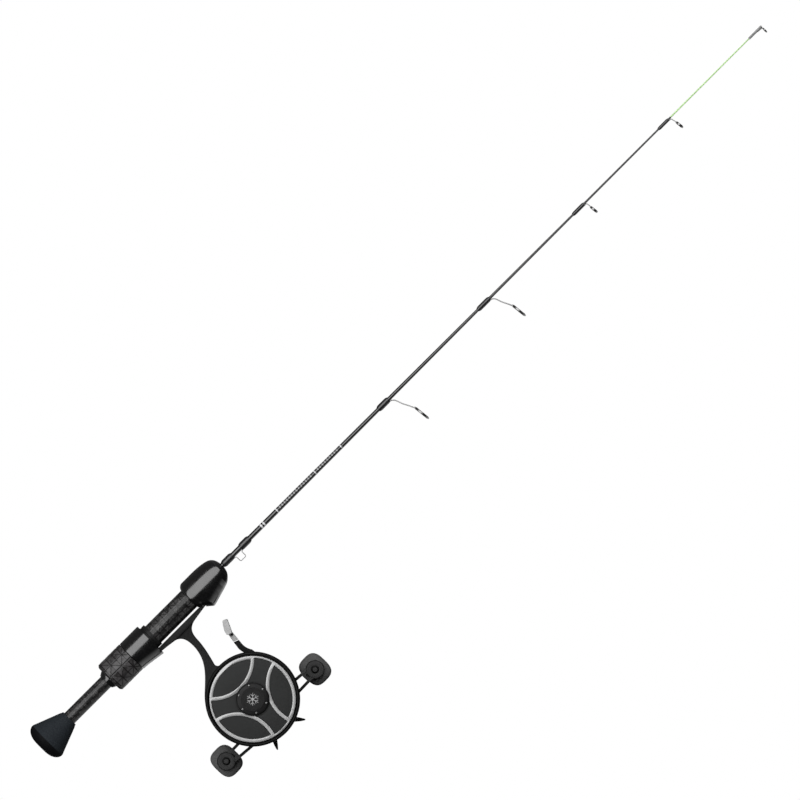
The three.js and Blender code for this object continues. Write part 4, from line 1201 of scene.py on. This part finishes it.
def rail_outline(start, end):
    """A straight rail of even width between two points."""
    half = 1.1
    start, end = Vector(start), Vector(end)
    across = (end - start).normalized().orthogonal() * half
    return [start + across, start - across, end - across, end + across]


def add_crank_bar():
    """Slim paired rails between a round hub and two end rings, with a washer round each knob's post."""
    y0, y1 = 29, 31.2
    hub = cylinder(y0, y1, 8.8, 96, 0.35)
    parts = []
    bores = [cylinder(20, 40, SHAFT_HOLE_R, 64)]
    washers = []
    for side in (1, -1):
        parts.append(plate([rail_outline((side * 3, side * 7.9), (side * 41.5, side * 4))], y0, y1, 0.3))
        parts.append(plate([rail_outline((side * 5, side * -2.8), (side * 41.5, side * -2.5))], y0, y1, 0.3))
        web = [(36.4, 4.4), (43.2, 5.2), (43.2, -4.2), (36.4, -3)]
        web = [(side * x, side * z) for x, z in web]
        slot = [(side * x, side * z) for x, z in oval(39.4, 0.6, 0.75, 1.65, 24)]
        parts.append(plate([rounded(web, 0.5, closed=True)], y0 + 0.15, y1 - 0.1, 0.2))
        # Each slot stops part way through the bar; the bar's material paints its floor black as painted shade.
        bores.append(plate([slot], y0 - 1, y0 + 1.6, 0.05, 0))
        ring = cylinder(y0 + 0.1, y1, 6.8, 96, 0.5)
        parts.append(moved(ring, side * CRANK_R))
        recess = [(y0 - 1, 0), (y0 - 1, 6.5), (y0 + 0.7, 6.5), (y0 + 0.7, 2.2), (40, 2.2), (40, 0)]
        bores.append(moved(lathe(recess, "Y", 96), side * CRANK_R))
        washer = plain_ring(y0, y0 + 0.6, 2.95, 6.2, 96, 0.15, "Y")
        cap = cylinder(28.02, 28.6, 1.7, 48, 0.15)
        washers += [moved(washer, side * CRANK_R), moved(cap, side * CRANK_R)]
    shape = cut(join(hub, parts), bores)
    crank_fine("crank_bar", shape, BAR)
    piece("bar_end_washers", tilted(together(washers)), WASHER, "crank", (), CRANK_AXIS)


def add_crank_nut():
    profile = [(31.5, 0), (31.5, 5.1), (31.9, 5.6), (34.2, 5.3), (34.9, 4.4), (35, 4.2), (35, 0)]
    body = lathe(profile, "Y", 6)
    bore = cylinder(30, 33.4, SHAFT_HOLE_R, 64)
    dish = lathe([(34.6, 0), (34.6, 2.6), (36, 3.2), (36, 0)], "Y", 64)
    shape = cut(body, [bore, dish])
    crank_fine("crank_nut", shape, GLOSS)


def knob_shape(x):
    """A round neck that swells into a soft squarish paddle with a dished end."""
    half_x, half_z = 9.55, 11.3
    outer = smooth(
        [(31.5, 0.58), (32.8, 0.64), (34, 0.82), (35, 0.93), (37, 0.985), (43, 1.0), (45.4, 0.94)], 5
    )
    outer += smooth([(45.4, 0.94), (46.4, 0.87), (47, 0.76)], 4)[1:]
    dish = smooth([(47, 0.76), (46.7, 0.66), (46.3, 0.5), (46.1, 0.3), (46.05, 0)], 4)[1:]
    line = [Vector((31.5, 0.22)), *outer, *dish]

    def square_up(point):
        share = math.hypot(point.x, point.z)
        if share < 1e-6:
            return point
        swell = min(1.0, max(0.0, (share - 0.6) / 0.33))
        swell = swell * swell * (3 - 2 * swell)
        c, s = point.x / share, point.z / share
        square = (abs(c) ** 3 + abs(s) ** 3) ** (-1 / 3)
        reach = share * (1 + (square - 1) * swell)
        wide_x, wide_z = 10.4 + (half_x - 10.4) * swell, 10.4 + (half_z - 10.4) * swell
        return Vector((c * reach * wide_x, point.y, s * reach * wide_z))

    profile = [Vector((46.0 - 0.9, 0)), Vector((46.0 - 0.9, 0.22)), *line]
    body = lathe(profile, "Y", 128, reshape=square_up)
    return moved(body, x)


def add_knobs():
    for end, x in (("front", CRANK_R), ("rear", -CRANK_R)):
        crank_fine(f"knob_{end}", knob_shape(x), KNOB)
        head = [(28.1, 0), (28.1, 2.1), (28.6, 2.3), (28.6, 2.7), (28.95, 2.7), (28.95, 2)]
        post = solid([*head, (44.8, 2), (44.8, 0)], 0.12, 56)
        crank_fine(f"knob_post_{end}", moved(post, x), RIM)


# ---- CAD nodes that show as they are ----
def finish_cad_nodes():
    finishes = {"steel": STEEL, "brass": BRASS, "friction": FRICTION}
    for name, node in NODES.items():
        if node.hide_render:
            continue
        node.data.materials.clear()
        node.data.materials.append(finishes.get(SLOTS[name], SATIN))


# ---- camera, light and floor, in metres ----
MIDDLE = 0.235
FLOOR_Z = -0.47


def add_camera():
    """Square to the rod's side, with the rod running at 45 degrees up to the right."""
    data = bpy.data.cameras.new("camera")
    data.lens = 600
    data.clip_end = 100
    data.sensor_width = 36
    camera = linked("camera", data)
    right = Vector((1, 0, -1)).normalized()
    up = Vector((1, 0, 1)).normalized()
    back = Vector((0, -1, 0))
    width = 0.5775
    distance = width * data.lens / data.sensor_width
    turn = Matrix((right, up, back)).transposed()
    middle_x, middle_z = 0.2277, -0.00625
    camera.matrix_world = Matrix.Translation((middle_x, -distance, middle_z)) @ turn.to_4x4()
    bpy.context.scene.camera = camera


def add_softbox(name, place, target, size, power):
    data = bpy.data.lights.new(name, "AREA")
    data.shape = "RECTANGLE"
    data.size, data.size_y = size
    data.energy = power
    light = linked(name, data)
    light.location = place
    aim = Vector(target) - Vector(place)
    light.rotation_mode = "QUATERNION"
    light.rotation_quaternion = aim.to_track_quat("-Z", "Y")
    return light


def add_world():
    """White to the camera. Reflections see a dim room, darkest low in front, and a glow below and behind."""
    world = bpy.data.worlds.new("studio")
    bpy.context.scene.world = world
    nodes = Nodes(world, "Generated")
    toward = nodes.new("ShaderNodeVectorMath", nodes.place, (0, 0.45, -0.89), operation="DOT_PRODUCT")
    x, _, z = nodes.split()
    low_glow = nodes.ramp(toward.outputs["Value"], 0.5, 0.98, 0.0, 1.15)
    narrow = nodes.ramp(nodes.math("ABSOLUTE", x), 0.08, 0.4, 1.0, 0.0)
    dim_room = nodes.ramp(z, -0.1, 0.1, 0.03, 0.12)
    reflected = nodes.math("ADD", nodes.math("MULTIPLY", low_glow, narrow), dim_room)
    path = nodes.new("ShaderNodeLightPath").outputs
    seen = nodes.new("ShaderNodeBackground", 1.0, 0.055).outputs[0]
    for ray, strength in (("Is Glossy Ray", reflected), ("Is Camera Ray", 1.0)):
        background = nodes.new("ShaderNodeBackground", 1.0, strength).outputs[0]
        seen = nodes.new("ShaderNodeMixShader", path[ray], seen, background).outputs[0]
    nodes.plug(nodes.new("ShaderNodeOutputWorld").inputs["Surface"], seen)


def add_floor():
    """A wide white sheet. It can be seen only from above, and it neither shades nor lights the object."""
    shape = bmesh.new()
    bmesh.ops.create_grid(shape, x_segments=1, y_segments=1, size=1)
    floor = linked("floor", mesh_of(shape, "floor"))
    floor.location = (MIDDLE, 0, FLOOR_Z)
    floor.scale = (3, 3, 1)
    floor.visible_diffuse = False
    floor.visible_glossy = False
    floor.visible_shadow = False
    surface = Surface("white_sheet", roughness=0.9, specular_ior_level=0.0)
    surface.set("Base Color", (0.0, 0.0, 0.0))
    surface.set("Emission Color", (1.0, 1.0, 1.0))
    surface.set("Emission Strength", 1.0)
    underside = surface.new("ShaderNodeNewGeometry").outputs["Backfacing"]
    clear = surface.new("ShaderNodeBsdfTransparent").outputs[0]
    choice = surface.new("ShaderNodeMixShader", underside, surface.shader.outputs["BSDF"], clear)
    surface.plug(surface.output.inputs["Surface"], choice.outputs[0])
    floor.data.materials.append(surface.material)


def add_lights():
    """A long softbox in front, level with the rod's axis at its lower edge, and a dim one behind."""
    add_softbox("key", (MIDDLE, -1.5, 0.96), (MIDDLE, 0, 0.96), (9.0, 1.88), 215)
    rear = add_softbox("rear", (MIDDLE, 2.0, 0.0), (MIDDLE, 0, 0), (2.4, 1.4), 90)
    rear.visible_glossy = False


bpy.context.scene.view_settings.view_transform = "Standard"
add_camera()
add_world()
add_lights()
add_floor()
add_blank_and_tip()
add_guides()
add_tip_guide()
add_hook_keeper()
add_fore_grip()
add_seat_barrel()
add_sliding_hood()
add_lock_nut()
add_rear_grip()
add_butt_cap()
add_reel_frame()
add_rim_ring()
add_gear_cover()
add_cover_screws()
add_spool()
add_face_trim()
add_drop_dial()
add_trigger()
add_star_drag()
add_crank_bar()
add_crank_nut()
add_knobs()
finish_cad_nodes()
